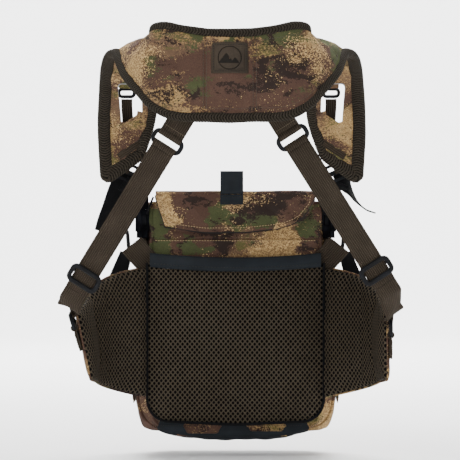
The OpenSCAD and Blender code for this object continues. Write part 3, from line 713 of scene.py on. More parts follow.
def on_surface(tree, points, towards, reach=30, lift=0.0):
    """Points (mm) dropped onto a surface along a direction, and the normals there. A point that
    misses is left out."""
    out, normals = [], []
    d = Vector(towards).normalized()
    for p in np.asarray(points, float):
        start = Vector(p * MM) - d * reach * MM
        hit, n, _, _ = tree.ray_cast(start, d, 2 * reach * MM)
        if hit is not None:
            if n.dot(d) > 0:
                n = -n
            out.append(np.array(hit) / MM + np.array(n) * lift)
            normals.append(np.array(n))
    return np.array(out), np.array(normals)


CLOTH_FRAMES = 20


def run_cloth(obj, pin, pressure, shrink, cap):
    """Inflates a closed padded mesh with its pinned points held, moved by cap mm at most."""
    rest = np.array([v.co for v in obj.data.vertices])
    group = obj.vertex_groups.new(name="pin")
    for i in pin:
        group.add([int(i)], 1.0, "REPLACE")
    bpy.context.view_layer.objects.active = obj
    mod = obj.modifiers.new("cloth", "CLOTH")
    c = mod.settings
    c.quality = 6
    c.mass = 0.25
    c.tension_stiffness = c.compression_stiffness = 12.0
    c.shear_stiffness = 5
    c.bending_stiffness = 0.8
    c.use_pressure = True
    c.uniform_pressure_force = pressure
    c.vertex_group_mass = "pin"
    c.pin_stiffness = 1.0
    c.shrink_min = shrink
    c.effector_weights.gravity = 0
    mod.collision_settings.use_collision = False
    scene = bpy.context.scene
    for owner in (scene, mod.point_cache):
        owner.frame_start, owner.frame_end = 1, CLOTH_FRAMES
    for f in range(1, CLOTH_FRAMES + 1):
        scene.frame_set(f)
    deps = bpy.context.evaluated_depsgraph_get()
    now = np.array([v.co for v in obj.evaluated_get(deps).data.vertices])
    obj.modifiers.remove(mod)
    obj.vertex_groups.clear()
    move = now - rest
    far = np.linalg.norm(move, axis=1, keepdims=True)
    move = move * np.minimum(1, cap * MM / np.maximum(far, 1e-9))
    write_vertices(obj.data, rest + move)
    scene.frame_set(1)


def subdivide(obj, levels):
    mod = obj.modifiers.new("subdivision", "SUBSURF")
    mod.levels = mod.render_levels = levels
    apply_modifiers(obj)


def apply_modifiers(obj):
    deps = bpy.context.evaluated_depsgraph_get()
    me = bpy.data.meshes.new_from_object(obj.evaluated_get(deps))
    old = obj.data
    obj.modifiers.clear()
    obj.data = me
    bpy.data.meshes.remove(old)


def ripple(co, amp, scale, seed=0.0, detail=2):
    """Smooth noise in mm at points given in mm, features about scale mm across."""
    off = Vector((seed * 3.7, seed * 1.3, seed * 2.9))
    return np.array([sum(noise.noise(Vector(p) / (scale / 2 ** k) + off) / 2 ** k
                         for k in range(detail)) for p in co]) * amp


def displace(obj, amp, scale, seed=0.0, detail=2, mask=None):
    """Moves each vertex along its normal by smooth noise."""
    co, no = read_vertices(obj.data), read_vertices(obj.data, "normal")
    d = ripple(co / MM, amp, scale, seed, detail)
    if mask is not None:
        d = d * mask(co / MM)
    write_vertices(obj.data, co + no * d[:, None] * MM)
    return obj


def soften(node, name, material, voxel, rounds):
    """A soft piece made from a CAD solid: remeshed finely, then smoothed."""
    obj = bpy.data.objects.new(name, NODES[node].data.copy())
    bpy.context.collection.objects.link(obj)
    obj.data.materials.clear()
    mod = obj.modifiers.new("remesh", "REMESH")
    mod.mode = "VOXEL"
    mod.voxel_size = voxel * MM
    mod = obj.modifiers.new("smooth", "SMOOTH")
    mod.iterations = rounds
    apply_modifiers(obj)
    dress(obj, material)
    obj["body"] = NODES[node]["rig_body"]
    return obj


def moulded(bevel, material, *nodes):
    """Hard CAD nodes: moulded plastic with rounded edges."""
    for obj in (NODES[node] for node in nodes):
        obj.data.materials.clear()
        obj.data.materials.append(LOOKS[material][0])
        mod = obj.modifiers.new("weld", "WELD")
        mod.merge_threshold = 0.00001
        mod = obj.modifiers.new("bevel", "BEVEL")
        mod.width, mod.segments = bevel * MM, 3
        mod.limit_method, mod.angle_limit = "ANGLE", math.radians(35)
        mod.harden_normals = False
        obj.data.polygons.foreach_set("use_smooth", [True] * len(obj.data.polygons))
        mod = obj.modifiers.new("normals", "WEIGHTED_NORMAL")
        mod.keep_sharp = False


# ---------------------------------------------------------------- the harness's own measures, mm

PANEL_W, PANEL_H, PAD_T = 189, 174, 10  # the chest panel
RIM_Z, LID_W = 154, 174  # the pack's rim and the lid
WEB_W, WEB_T = 25, 1.5  # the side straps' webbing
NARROW_W, TAIL_W = 20, 18  # the shoulder straps' webbing, and the stabilizers' black straps
YOKE_T, GAP = 7, 0.3  # the yoke's padding, and room between parts
HANG = -4  # how far the yoke hangs to one side
BAR_D, RING_H = 4.2, 18  # the rings' wire and height
BAR_R = BAR_D / 2
CENTRE_SEAM = 24.5  # from the yoke's middle to the seams beside its centre panel

NECK_EDGE = arr(
    [22, -233, 324], [46, -231, 327.5], [63, -224, 331.5], [74, -211, 330.5], [79, -190, 326],
    [82, -155, 321], [84, -105, 309], [83, -55, 287], [83, -18, 248], [97, -3, 207])
OUTER_EDGE = arr(
    [22, -234, 231], [55, -231, 232.5], [77, -222, 243], [93, -205, 260], [110, -178, 280],
    [121, -140, 303], [132, -95, 303], [138.5, -50, 279], [142, -20, 228], [139, -4, 174])
HUNG = np.array([HANG, 0, 0])


# Centres and directions of the right side's hardware. With s = -1 they are the left side's, which
# hangs a little differently, before it is mirrored

def yoke_ring_c(s):
    return arr(62.7 + s * HANG, -212, 214 + 2 * s)


def slider_rest(s):
    return arr(149 + s * HANG / 2, -150, 79.2)


def side_dir(s):
    return unit(slider_rest(s) - yoke_ring_c(s))


def side_normal(s):
    d = side_dir(s)
    return unit(arr(0, -1, 0) + d[1] * d)


def slider_c(s):
    return slider_rest(s) - 5 * s * side_dir(s)


def wing_ring_c(s):
    return arr(166 - 3.4 * s, -96, 24.8 - 3.4 * s)


def wing_ring_up(s):
    lean = math.radians(8.5 - 8.5 * s)
    return arr(math.sin(lean), 0, math.cos(lean))


BUCKLE_C = arr(102.5, 30, 134)
BUCKLE_TURN = math.radians(75)
BUCKLE_X = arr(math.cos(BUCKLE_TURN), math.sin(BUCKLE_TURN), 0)

# ---------------------------------------------------------------- yoke and arms

STEPS = 14
neck_r, outer_r = smooth(NECK_EDGE, STEPS), smooth(OUTER_EDGE, STEPS)
neck = np.vstack([m_side(neck_r, -1)[::-1], [[0, -234, 323.3]], neck_r])
outer = np.vstack([m_side(outer_r, -1)[::-1], [[0, -235, 230]], outer_r])
neck, outer = (resample(np.hstack([neck, outer]), 4.0)[:, k:k + 3] for k in (0, 3))
out_n = -unit(np.cross(tangents(neck) + tangents(outer), outer - neck))
mid_len = lengths((neck + outer) / 2)
width = np.linalg.norm(outer - neck, axis=1)

# Over the shoulders the padded fabric rolls down over the binding beside the neck
rolled = np.clip((neck[:, 1] + 212) / 26, 0, 1) * np.clip((-88 - neck[:, 1]) / 40, 0, 1)
rolled = rolled * rolled * (3 - 2 * rolled)


def yoke_point(i, v):
    """Point of the yoke's middle surface: i along it, v from 0 at the neck edge to 1 outside."""
    return neck[i] + (outer[i] - neck[i]) * v


def build_yoke():
    """The padded camo yoke with both arms, as one closed form between its bindings."""
    rows = range(2, len(neck) - 2)
    cols, tuck = 26, 6.0
    outside, inside, uv = [], [], []
    for i in rows:
        near, far = (tuck - 6.5 * rolled[i]) / width[i], 1 - tuck / width[i]
        v = near + (far - near) * np.linspace(0, 1, cols)
        d = np.minimum(v - near, far - v) * width[i]
        half = 1.6 + (YOKE_T / 2 - 1.0) * (1 - np.exp(-d / 7.0))
        drop = rolled[i] * 5.0 * np.exp(-((v - near) * width[i] / 7.0) ** 2)
        p = yoke_point(i, v[:, None]) - out_n[i] * drop[:, None]
        outside.append(p + out_n[i] * half[:, None])
        inside.append(p - out_n[i] * half[:, None])
        uv.append(np.stack([(v - 0.5) * width[i] * MM, np.full(cols, mid_len[i] * MM)], 1))
    k = len(rows) * cols
    grid = np.arange(k).reshape(-1, cols)
    rim = rim_pairs(grid)
    faces = [f for a, b, c, d in quads(grid) for f in ((a, b, c, d), (a + k, d + k, c + k, b + k))]
    faces += [(a + k, b + k, b, a) for a, b in rim]
    verts = np.vstack(outside + inside) + HUNG
    obj = piece("yoke_and_arms", verts, faces, "camo", uvs=np.vstack(uv * 2))
    fix_normals(obj)
    pin = [a for a, _ in rim] + [a + k for a, _ in rim]
    seam = [i for i, p in enumerate(verts[:k]) if abs(abs(p[0] - HANG) - 24) < 2.2 and p[1] < -225]
    run_cloth(obj, pin + seam, pressure=2.5, shrink=-0.015, cap=2.6)
    subdivide(obj, 1)
    displace(obj, 0.55, 26, 1.0)
    # The sewn seams beside the centre panel
    co, no = read_vertices(obj.data) / MM, read_vertices(obj.data, "normal")
    depth = 1.3 * np.exp(-((np.abs(co[:, 0] - HANG) - CENTRE_SEAM) / 1.6) ** 2) * (co[:, 1] < -222)
    write_vertices(obj.data, (co - no * depth[:, None]) * MM)
    return obj


yoke = build_yoke()

WINDOW_C, WINDOW_W, WINDOW_H = arr(108.6, -30, 259.5), 25, 40


def window_outline(s):
    """The arm window's outline: rounded corners, and a lower edge that slants up inward."""
    w, h, r = WINDOW_W / 2, WINDOW_H / 2, 4.0
    pts = quarter(w - r, h - r, r, 0, 15) + quarter(-w + r, h - r, r, 90, 15)
    pts += [(-w, -h + 11), (-w + 5, -h + 12.5), (-w + 6, -h + 8), (w - 6, -h), (w - 2, -h + 1)]
    return arr(*[(s * (WINDOW_C[0] + x) + HANG, 0, WINDOW_C[2] + z) for x, z in pts])


def cut_through(obj, line, y0, y1, edge=None):
    """Cuts a hole with the line's outline from y0 to y1. Its faces take the material edge."""
    near, far = line.copy(), line.copy()
    near[:, 1], far[:, 1] = y0, y1
    cutter = piece("cutter", np.vstack([near, far]), tube_faces(2, len(line)), edge or "hypalon")
    fix_normals(cutter)
    mod = obj.modifiers.new("window", "BOOLEAN")
    mod.operation, mod.solver, mod.object = "DIFFERENCE", "EXACT", cutter
    if edge:
        mod.material_mode = "TRANSFER"
    apply_modifiers(obj)
    bpy.data.objects.remove(cutter)
    obj.data.set_sharp_from_angle(angle=math.radians(45))


yoke.data.materials.append(LOOKS["raw_edge"][0])
for _, s in SIDES:
    cut_through(yoke, window_outline(s), -75, 20, "raw_edge")
done(yoke, "yoke_pad", "arm_left", "arm_right")


def build_binding():
    """One closed loop of ribbed knit round the yoke's and arms' edge."""
    last, inset = len(neck) - 1, 4.6
    rows = range(1, last)
    side_a = np.array([yoke_point(i, (inset + 2.0 * rolled[i]) / width[i])
                       - out_n[i] * 6.5 * rolled[i] for i in rows])
    side_b = np.array([yoke_point(i, 1 - inset / width[i]) for i in rows])
    n_ab = out_n[1:last]
    turn = np.linspace(0, 1, 14)[1:-1, None]
    path = np.vstack([side_a, side_a[-1] + (side_b[-1] - side_a[-1]) * turn,
                      side_b[::-1], side_b[0] + (side_a[0] - side_b[0]) * turn])
    n, k = len(rows), len(turn)
    normal = np.vstack([n_ab, np.repeat(n_ab[-1:], k, 0), n_ab[::-1], np.repeat(n_ab[:1], k, 0)])
    # Half the binding's width: wider round the arms' ends, and on the arms' lower parts
    wide = np.repeat([4.2, 6.4, 5.0, 6.4], [n, k, n, k])
    wide = wide + 2.0 * np.clip((path[:, 1] + 150) / 80, 0, 1)
    step = 0.75
    q = resample(np.hstack([path, normal, wide[:, None]]), step, closed=True)
    for _ in range(12):
        q = (np.roll(q, 1, 0) + 2 * q + np.roll(q, -1, 0)) / 4
    q = resample(q, step, closed=True)
    p, n, w = q[:, :3], unit(q[:, 3:6]), q[:, 6]
    t = tangents(p, closed=True)
    a = unit(np.cross(t, n))
    n = unit(np.cross(a, t))
    d = lengths(p)
    m = 24
    fold = np.abs((np.arange(m) / m * 2) % 1 - 0.5) * KNIT_ROUND / 2 * KNIT_SLANT
    rib = 0.2 * np.cos(2 * math.pi * (d[:, None] + fold[None]) / KNIT_PITCH)
    rib += 0.35 * ripple(p, 1.0, 30, 4.0)[:, None]
    ca, sa = oval(m, 0.75)
    half = YOKE_T / 2 + 1.0
    v = (p[:, None] + a[:, None] * (ca[None] * (w[:, None] + rib))[..., None]
         + n[:, None] * (sa[None] * (half + rib))[..., None]) + HUNG
    uv = np.zeros((len(p), m, 2))
    uv[..., 0] = (np.arange(m) / m)[None] * KNIT_ROUND * MM
    uv[..., 1] = d[:, None] * MM
    obj = piece("knit_binding", v.reshape(-1, 3), tube_faces(len(p), m, closed=True), "knit",
                uvs=uv.reshape(-1, 2), sharp=80)
    fix_normals(obj)
    done(obj, "edge_binding")


build_binding()
yoke_tree = surface_of(yoke)


def edge_stitches():
    """Topstitching beside the binding, on the outer face, and along the centre panel's seams."""
    inset = 13.5
    for name in ("neck", "outer"):
        pts, ns = [], []
        for i in range(6, len(neck) - 6):
            v = inset / width[i]
            p = yoke_point(i, v if name == "neck" else 1 - v) + HUNG
            hit, no = on_surface(yoke_tree, [p + out_n[i] * 8], -out_n[i], 14)
            if len(hit):
                pts.append(hit[0])
                ns.append(no[0])
        stitches(f"topstitch_{name}", pts, ns, material="brown_thread", pitch=2.6, length=1.8,
                 r=0.26)
    for name, s in SIDES:
        for k, dx in enumerate((23.0, 26.3)):
            line = [(s * dx + HANG, -245, z) for z in np.arange(244, 312, 2.0)]
            pts, ns = on_surface(yoke_tree, line, (0, 1, 0), 30)
            stitches(f"panel_stitch_{name}_{k}", pts, ns, material="brown_thread", pitch=2.8)


edge_stitches()


def build_patch():
    """Moulded patch: a raised border, a sunk field with a plain mark of two peaks, and stitches."""
    lo, hi = box_mm("patch")
    cx, cz = (lo[0] + hi[0]) / 2, (lo[2] + hi[2]) / 2
    w, h = (hi[0] - lo[0]) / 2, (hi[2] - lo[2]) / 2
    nx, nz = 112, 94
    x, z = np.linspace(-w, w, nx), np.linspace(-h, h, nz)
    X, Z = np.meshgrid(x, z, indexing="ij")
    edge = np.minimum(w - np.abs(X), h - np.abs(Z))
    corner = np.hypot(np.maximum(np.abs(X) - w + 2.5, 0), np.maximum(np.abs(Z) - h + 2.5, 0))
    rim = np.clip((2.5 - corner) / 0.8, 0, 1) * np.clip(edge / 0.6, 0, 1)
    frame_line = np.exp(-((edge - 3.6) / 0.45) ** 2)
    peak = np.minimum.reduce([Z + 5.5, 5.0 - Z - np.abs(X + 3.4) * 1.25])
    small = np.minimum.reduce([Z + 5.5, 0.8 - Z - np.abs(X - 5.2) * 1.25])
    mark = np.maximum(peak, small)
    sunk = np.clip(mark / 0.5, 0, 1)
    ring = np.exp(-((np.hypot(X, Z) - 11.4) / 0.5) ** 2)
    sunk = np.maximum(sunk, ring)
    height = 1.5 * rim - 0.5 * frame_line - 0.8 * sunk
    # The patch follows a smooth fit of the fabric below it
    share = (-1, -0.5, 0, 0.5, 1)
    spots = [(cx + a * w, lo[1] - 20, cz + b * h) for a in share for b in share]
    on, _ = on_surface(yoke_tree, spots, (0, 1, 0), 50)

    def terms(x, z):
        return np.stack([x * 0 + 1, x, z, x * x, z * z, x * z], -1)

    fit = np.linalg.lstsq(terms(on[:, 0] - cx, on[:, 2] - cz), on[:, 1], rcond=None)[0]
    base = terms(X, Z) @ fit
    verts = np.vstack([np.stack([X + cx, y, Z + cz], -1).reshape(-1, 3)
                       for y in (base - height, base + 1.2)])
    grid = np.arange(nx * nz).reshape(nx, nz)
    sunk = (sunk[:-1, :-1] + sunk[:-1, 1:] + sunk[1:, :-1] + sunk[1:, 1:]) / 4
    faces = [(a, d, c, b) for a, b, c, d in quads(grid)]
    faces += [(a, b, b + nx * nz, a + nx * nz) for a, b in rim_pairs(grid)]
    done(piece("yoke_patch", verts, faces, "patch", second=("groove", np.flatnonzero(sunk > 0.5)),
               sharp=60), "patch")
    x0, x1, z0, z1 = cx - w + 2.3, cx + w - 2.3, cz - h + 2.3, cz + h - 2.3
    path = arr([x0, 0, z0], [x1, 0, z0], [x1, 0, z1], [x0, 0, z1], [x0, 0, z0])
    for k, (a, b) in enumerate(zip(path, path[1:])):
        line = np.array([a + (b - a) * t for t in np.linspace(0.02, 0.98, 12)])
        line[:, 1] = terms(line[:, 0] - cx, line[:, 2] - cz) @ fit - 1.55
        stitches(f"patch_stitch_{k}", line, (0, -1, 0), pitch=2.6, length=1.8, r=0.3)


build_patch()


# ---------------------------------------------------------------- webbing

def loop_path(bar, along, normal, length, back=None):
    """Webbing folded round a bar: the middle line of its single layer, out from the back layer's
    end, round the bar, and along the front layer."""
    r = BAR_R + GAP + WEB_T / 2
    lay = WEB_T / 2 + 0.05
    pts = []
    back = length if back is None else back
    for d in np.linspace(back, r * 1.6, 14):
        pts.append(bar + along * d - normal * lay)
    for a in np.linspace(-60, 60, 17):
        ang = math.radians(a * 3)
        pts.append(bar - along * r * math.cos(ang) + normal * r * math.sin(ang))
    for d in np.linspace(r * 1.6, length, 24):
        pts.append(bar + along * d + normal * lay)
    return np.array(pts)


def cross_stitch(name, at, x_dir, y_dir, normal, w, h, body="harness", box=True):
    """A sewn box with a cross in it, or one row across the webbing."""
    c = [(-w, -h), (w, -h), (w, h), (-w, h)]
    lines = [(c[0], c[1]), (c[1], c[2]), (c[2], c[3]), (c[3], c[0]), (c[0], c[2]), (c[1], c[3])]
    for k, (a, b) in enumerate(lines if box else [((-w, 0), (w, 0))]):
        row = np.array([at + x_dir * (a[0] + (b[0] - a[0]) * t) + y_dir * (a[1] + (b[1] - a[1]) * t)
                        for t in np.linspace(0, 1, 9)])
        stitches(f"{name}_{k}", row, normal, body, "pale_thread", pitch=2.2, length=1.6, r=0.24)


def side_strip(name, s, points, across, *rest, **how):
    """A strip whose path is given for the right side, mirrored for the left one."""
    return strip(name, m_side(points, s), m_side(across, s), *rest, **how)


def both(obj, s, node):
    """One side's piece of a CAD node that holds both sides: the right one stands for it."""
    return done(obj, *([node] if s > 0 else []))


for name, s in SIDES:
    ring, along, nrm = yoke_ring_c(s), -side_dir(s), side_normal(s)
    x_dir = unit(np.cross(along, nrm))
    half = RING_H / 2 - BAR_R
    reach = float(np.linalg.norm(slider_c(s) - ring)) - half + 18
    # The yoke's tab, and the side strap down to below the slider
    done(side_strip(f"yoke_webbing_{name}", s, loop_path(ring + along * half, along, nrm, 30, 26),
                    x_dir, WEB_W, WEB_T, is_smooth=False), f"yoke_tab_{name}")
    cross_stitch(f"yoke_tab_stitch_{name}", m_side(ring + along * (half + 8.5) + nrm * 1.7, s),
                 m_side(x_dir, s), m_side(along, s), m_side(nrm, s), 10.5, 0, box=False)
    done(side_strip(f"side_webbing_{name}", s,
                    loop_path(ring - along * half, -along, nrm, reach, 24),
                    x_dir, WEB_W, WEB_T, is_smooth=False), f"side_strap_{name}")

    # Rings on the yoke and the wing, and the slider over the strap
    done(rounded_frame(f"yoke_frame_{name}", f"yoke_ring_{name}", s, ring, x_dir, along,
                       WEB_W + 10, RING_H, BAR_D + 0.4, 4.0), f"yoke_ring_{name}")
    over = WEB_T + GAP + 1.5
    under = -WEB_T - GAP - 1.2
    done(rounded_frame(f"slider_frame_{name}", f"slider_{name}", s, slider_c(s) + nrm * over,
                       x_dir, -side_dir(s), WEB_W + 10.5, 22, 5.0, 3.6, 4.6,
                       [(0, under - over, 16.5, 2.0, 1.2)],
                       (WEB_W / 2 + 2.9, under - over, 0, 2.0, 5.0)), f"slider_{name}")
    wing_c, up = wing_ring_c(s), wing_ring_up(s)
    out = arr(up[2], 0, -up[0])
    done(rounded_frame(f"wing_frame_{name}", f"wing_ring_{name}", s, wing_c, arr(0, 1, 0), up,
                       WEB_W + 10, RING_H, BAR_D, 4.0), f"wing_ring_{name}")

    # Lower end of the side strap, two layers that turn edge-on to reach the wing's ring
    fall = side_dir(s)
    start = slider_c(s) + fall * 18.9
    finish = wing_c + arr(1.5, 0, RING_H / 2 + WEB_T + GAP)
    flat, turned = np.cross(-fall, nrm), arr(0.25, 1, 0)
    pts = np.array([start, start + fall * 7, start + fall * 12.5 + arr(0, 2.5, 0),
                    start + fall * 15 + arr(0, 10, -4), finish + arr(1.0, -17, 7),
                    finish + arr(0.6, -3, 3.5), finish, wing_c + up * (half + 1)])
    acr = np.array([flat, flat, flat, flat * 0.75 + 0.25 * turned, flat * 0.25 + 0.75 * turned,
                    arr(0.05, 1, 0), arr(0, 1, 0), arr(0, 1, 0)])
    for k, off in enumerate((0.85, -0.85)):
        shift = unit(np.cross(tangents(pts), acr)) * off
        obj = side_strip(f"wing_webbing_{name}_{k}", s, pts + shift, acr, WEB_W - 0.4, WEB_T)
        if k == 0:
            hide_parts(f"wing_strap_{name}")
        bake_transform(obj)

    # Tab on the wing's tip, folded round the wing's ring
    bar = wing_c - up * half
    done(side_strip(f"wing_tab_webbing_{name}", s, loop_path(bar, -up, out, 25, 22), arr(0, 1, 0),
                    WEB_W, WEB_T, body=f"wing_{name}", is_smooth=False), f"wing_tab_{name}")
    cross_stitch(f"wing_tab_stitch_{name}", m_side(bar - up * 14 + out * 1.75, s), arr(0, 1, 0),
                 m_side(up, s), m_side(out, s), 9.5, 7, f"wing_{name}")

    # Wide webbing and ring of the stabilizer
    pts = arr([86, 9.6, 79], [93, 8.4, 86], [98.5, 7.4, 91.5], [103.5, 6.2, 97],
              [108.5, 5.4, 102.5], [113, 5.6, 108])
    acr = arr([-0.6, 0, 1], [-0.6, 0, 1], [-0.5, 0, 1], [-0.45, 0.03, 1], [-0.35, 0.08, 1],
              [-0.15, 0.1, 1])
    done(side_strip(f"stabilizer_webbing_{name}", s, pts, acr, WEB_W + 2, WEB_T * 1.8),
         f"stabilizer_tab_{name}")
    turn = math.radians(95)
    both(rounded_frame(f"stabilizer_frame_{name}", "stabilizer_rings", s, arr(117, 14, 109),
                       arr(math.cos(turn), 0, -math.sin(turn)), arr(0, 1, 0), WEB_W + 4, 16, BAR_D,
                       3.6), s, "stabilizer_rings")

    # Webbing up to the corner buckle, and from it to the arm
    pts = arr([99, 25, 100], [99.8, 26.5, 106], [101, 28.6, 111], BUCKLE_C - arr(0, 0, 18.5))
    both(side_strip(f"corner_webbing_{name}", s, pts, BUCKLE_X, NARROW_W, WEB_T * 2), s,
         "corner_tabs")
    pts = m_side(arr([118.5 + s * HANG, 11.5, 175.5], [114 + s * HANG / 2, 12.5, 171],
                     [108, 16, 167.5], [105, 25, 164], BUCKLE_C + arr(0, 0, 25)), s)
    acr = arr([0.92, 0, 0.38], [0.95, 0.1, 0.3], [0.85, 0.4, 0.15], [0.5, 0.85, 0], BUCKLE_X)
    obj = strip(f"shoulder_webbing_{name}", pts, m_side(acr, s), NARROW_W, WEB_T * 1.4,
                "black_webbing")
    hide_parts(f"shoulder_strap_{name}")
    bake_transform(obj)

    # The stabilizer's black strap, and the lid's elastic
    pts = arr([119.5, 14.5, 99], [124, 14.2, 85], [128, 13.2, 75], [133, 10.6, 62],
              [138.5, 5.8, 48], [143.5, -1, 32])
    acr = arr([0.75, 0.65, 0], [0.95, 0.4, 0.1], [1, 0.3, 0.2], [1, 0.2, 0.3], [1, 0.2, 0.3],
              [1, 0.1, 0.3])
    both(side_strip(f"stabilizer_tail_{name}", s, pts, acr, TAIL_W, WEB_T, "black_webbing"), s,
         "stabilizer_straps")
    pts = arr([89.5, 10.5, 160], [92, 10.5, 154], [94.6, 10.5, 147], [96.2, 10.5, 141])
    both(side_strip(f"lid_elastic_{name}", s, pts, arr(0, 1, 0), 9, 2, "black_webbing", body="lid"),
         s, "lid_elastics")

# The free ends of the shoulder straps, which hang differently
for name, s, pts, acr in (
        ("right", 1,
         arr([118, 15.5, 190], [122, 23, 180], [128.5, 31, 168], [136, 32, 156], [146, 31, 147],
             [155, 28, 143]),
         arr([0.9, 0, 0.38], [0.8, 0.4, 0.3], [0.4, 0.9, 0.1], [0.2, 1, 0], [0, 1, 0.05],
             [0, 1, 0.05])),
        ("left", -1,
         arr([118, 15.5, 190], [121, 22, 179], [126.5, 27, 166], [132, 24, 149], [137, 18, 134],
             [140, 13, 122]),
         arr([0.9, 0, 0.38], [0.93, 0, 0.3], [0.95, 0, 0.25], [0.95, 0, 0.28], [0.93, 0, 0.33],
             [0.9, 0, 0.38]))):
    done(side_strip(f"tail_webbing_{name}", s, pts + s * HUNG, acr, NARROW_W, WEB_T,
                    "black_webbing"), f"strap_tail_{name}")

for name, s in SIDES:
    # Arm anchor webbing, a flat elastic across the arm, and the keeper in the window
    x_dir, down = unit(arr(0.92, 0, 0.38)), unit(arr(0.38, 0, -0.92))
    c = arr(117.4, 5.6, 200) + s * HUNG
    pts = np.array([c - down * 8 + arr(0, 0.4, 0), c, c + down * 6 + arr(0, 1, 0),
                    c + down * 12 + arr(0, 4, 0)])
    both(side_strip(f"arm_anchor_{name}", s, pts, x_dir, NARROW_W, WEB_T * 1.3), s, "arm_anchors")
    line = [(s * (93.5 + 29 * t) + HANG, 0, 222.5 - 19.5 * t) for t in np.linspace(0, 1, 16)]
    pts, _ = on_surface(yoke_tree, line, (0, 1, 0), 90, lift=0.7)
    done(strip(f"arm_band_{name}", pts, m_side(unit(arr(19.5, 0, 29)), s), 7.5, 1.2, step=1.5))
    keeper = arr(WINDOW_C[0] + 1.5 - 3 * s, 0, 0)
    lean = math.radians(110)
    both(rounded_frame(f"keeper_frame_{name}", "keeper_loops", s,
                       keeper + arr(0, -21, 271.5) + HUNG * s, arr(1, 0, 0),
                       arr(0, math.cos(lean), math.sin(lean)), 20, 12, 3.6, 3.4, 3.5),
         s, "keeper_loops")
    pts = arr([0, -17.5, 265], [0, -16, 256], [-0.5, -14.5, 248], [-1, -11.5, 238]) + keeper
    both(strip(f"keeper_webbing_{name}", m_side(pts, s) + HUNG, arr(1, 0, 0), 12, WEB_T * 1.3),
         s, "keeper_straps")
    pts = arr([-2, -44, 291], [-1.5, -38, 286], [-0.5, -30, 281], [0, -24.6, 277]) + keeper
    done(strip(f"keeper_fabric_{name}", m_side(pts, s) + HUNG, arr(1, 0, 0), 17, 2.6, "camo"))

# ---------------------------------------------------------------- chest panel and wings

def panel_top(x):
    """Height of the panel's upper edge, which dips in the middle."""
    return PANEL_H / 2 - 5 * (1 - (x / (PANEL_W / 2)) ** 2)


def panel_bottom(x):
    """Height of the panel's lower edge, which rises a little outward to its round corners."""
    corner, rise = 24, 3
    straight = PANEL_W / 2 - corner
    t = min(max((abs(x) - straight) / corner, 0), 1)
    if abs(x) < straight:
        return rise * abs(x) / straight - PANEL_H / 2
    return rise + corner * (1 - math.sqrt(1 - t * t)) - PANEL_H / 2


def build_panel():
    """The chest panel: mesh over foam, thick in the middle, with piping round three sides."""
    nx, nz = 46, 42
    w = PANEL_W / 2 + 1.2
    narrow = (PANEL_W / 2 - 0.3) / w
    front, back, uv = np.zeros((nx, nz, 3)), np.zeros((nx, nz, 3)), np.zeros((nx, nz, 2))
    for i, x in enumerate(np.linspace(-w, w, nx)):
        lo, hi = panel_bottom(x * narrow) - 0.5, panel_top(x * narrow) - 0.4
        z = np.linspace(lo, hi, nz)
        d = np.minimum.reduce([w - abs(x) + 0 * z, z - lo, (hi - z) + 3])
        puff = 1 - np.exp(-np.clip(d, 0, 99) / 8.0)
        front[i] = np.stack([np.full(nz, x), 5.2 - 6.0 * puff, z], 1)
        back[i] = np.stack([np.full(nz, x), np.full(nz, PAD_T - 0.6), z], 1)
        uv[i] = np.stack([np.full(nz, x), z], 1) * MM
    obj, pin = closed_pad("chest_panel", front, back, uv, "harness", "mesh")
    run_cloth(obj, pin, pressure=3.0, shrink=-0.01, cap=2.5)
    subdivide(obj, 2)
    displace(obj, 0.5, 34, 2.0)
    done(obj, "back_pad")
    # Dark piping down the panel's sides and along its bottom
    y = 3.0
    rim = [(x, y, panel_bottom(x * narrow) - 0.7) for x in np.linspace(-w, w, 150)]
    top = panel_top(PANEL_W / 2) + 1
    path = [(-w - 0.4, y, z) for z in np.linspace(top, rim[0][2] + 3, 40)] + rim
    path += [(w + 0.4, y, z) for z in np.linspace(rim[-1][2] + 3, top, 40)]
    tube("panel_piping", path, 1.45, "black_webbing")


build_panel()


def wing_line():
    """The wing's middle line from above: out of the seam, round the wearer's side, and straight."""
    first, last, r, end = 15, 80, 73, 49

    def on_bend(angle):
        a = math.radians(angle)
        return arr(r * math.sin(a), r * math.cos(a))

    seam = arr(PANEL_W / 2 + 1, 3) - on_bend(first)
    pts = [seam + on_bend(a) for a in range(first, last + 1, 5)]
    lean = math.radians(86)
    way = arr(math.cos(lean), -math.sin(lean))
    pts += [pts[-1] + d * way for d in (end / 3, 2 * end / 3, end)]
    return np.array(pts)


def wing_top(u):
    """Height of the wing's upper edge, u from 0 at its seam to 1 at its tip."""
    return 84 - 16 * u - 31 * u ** 3


def wing_bottom(u):
    return -59 + 24 * u + 1.5 * u * u


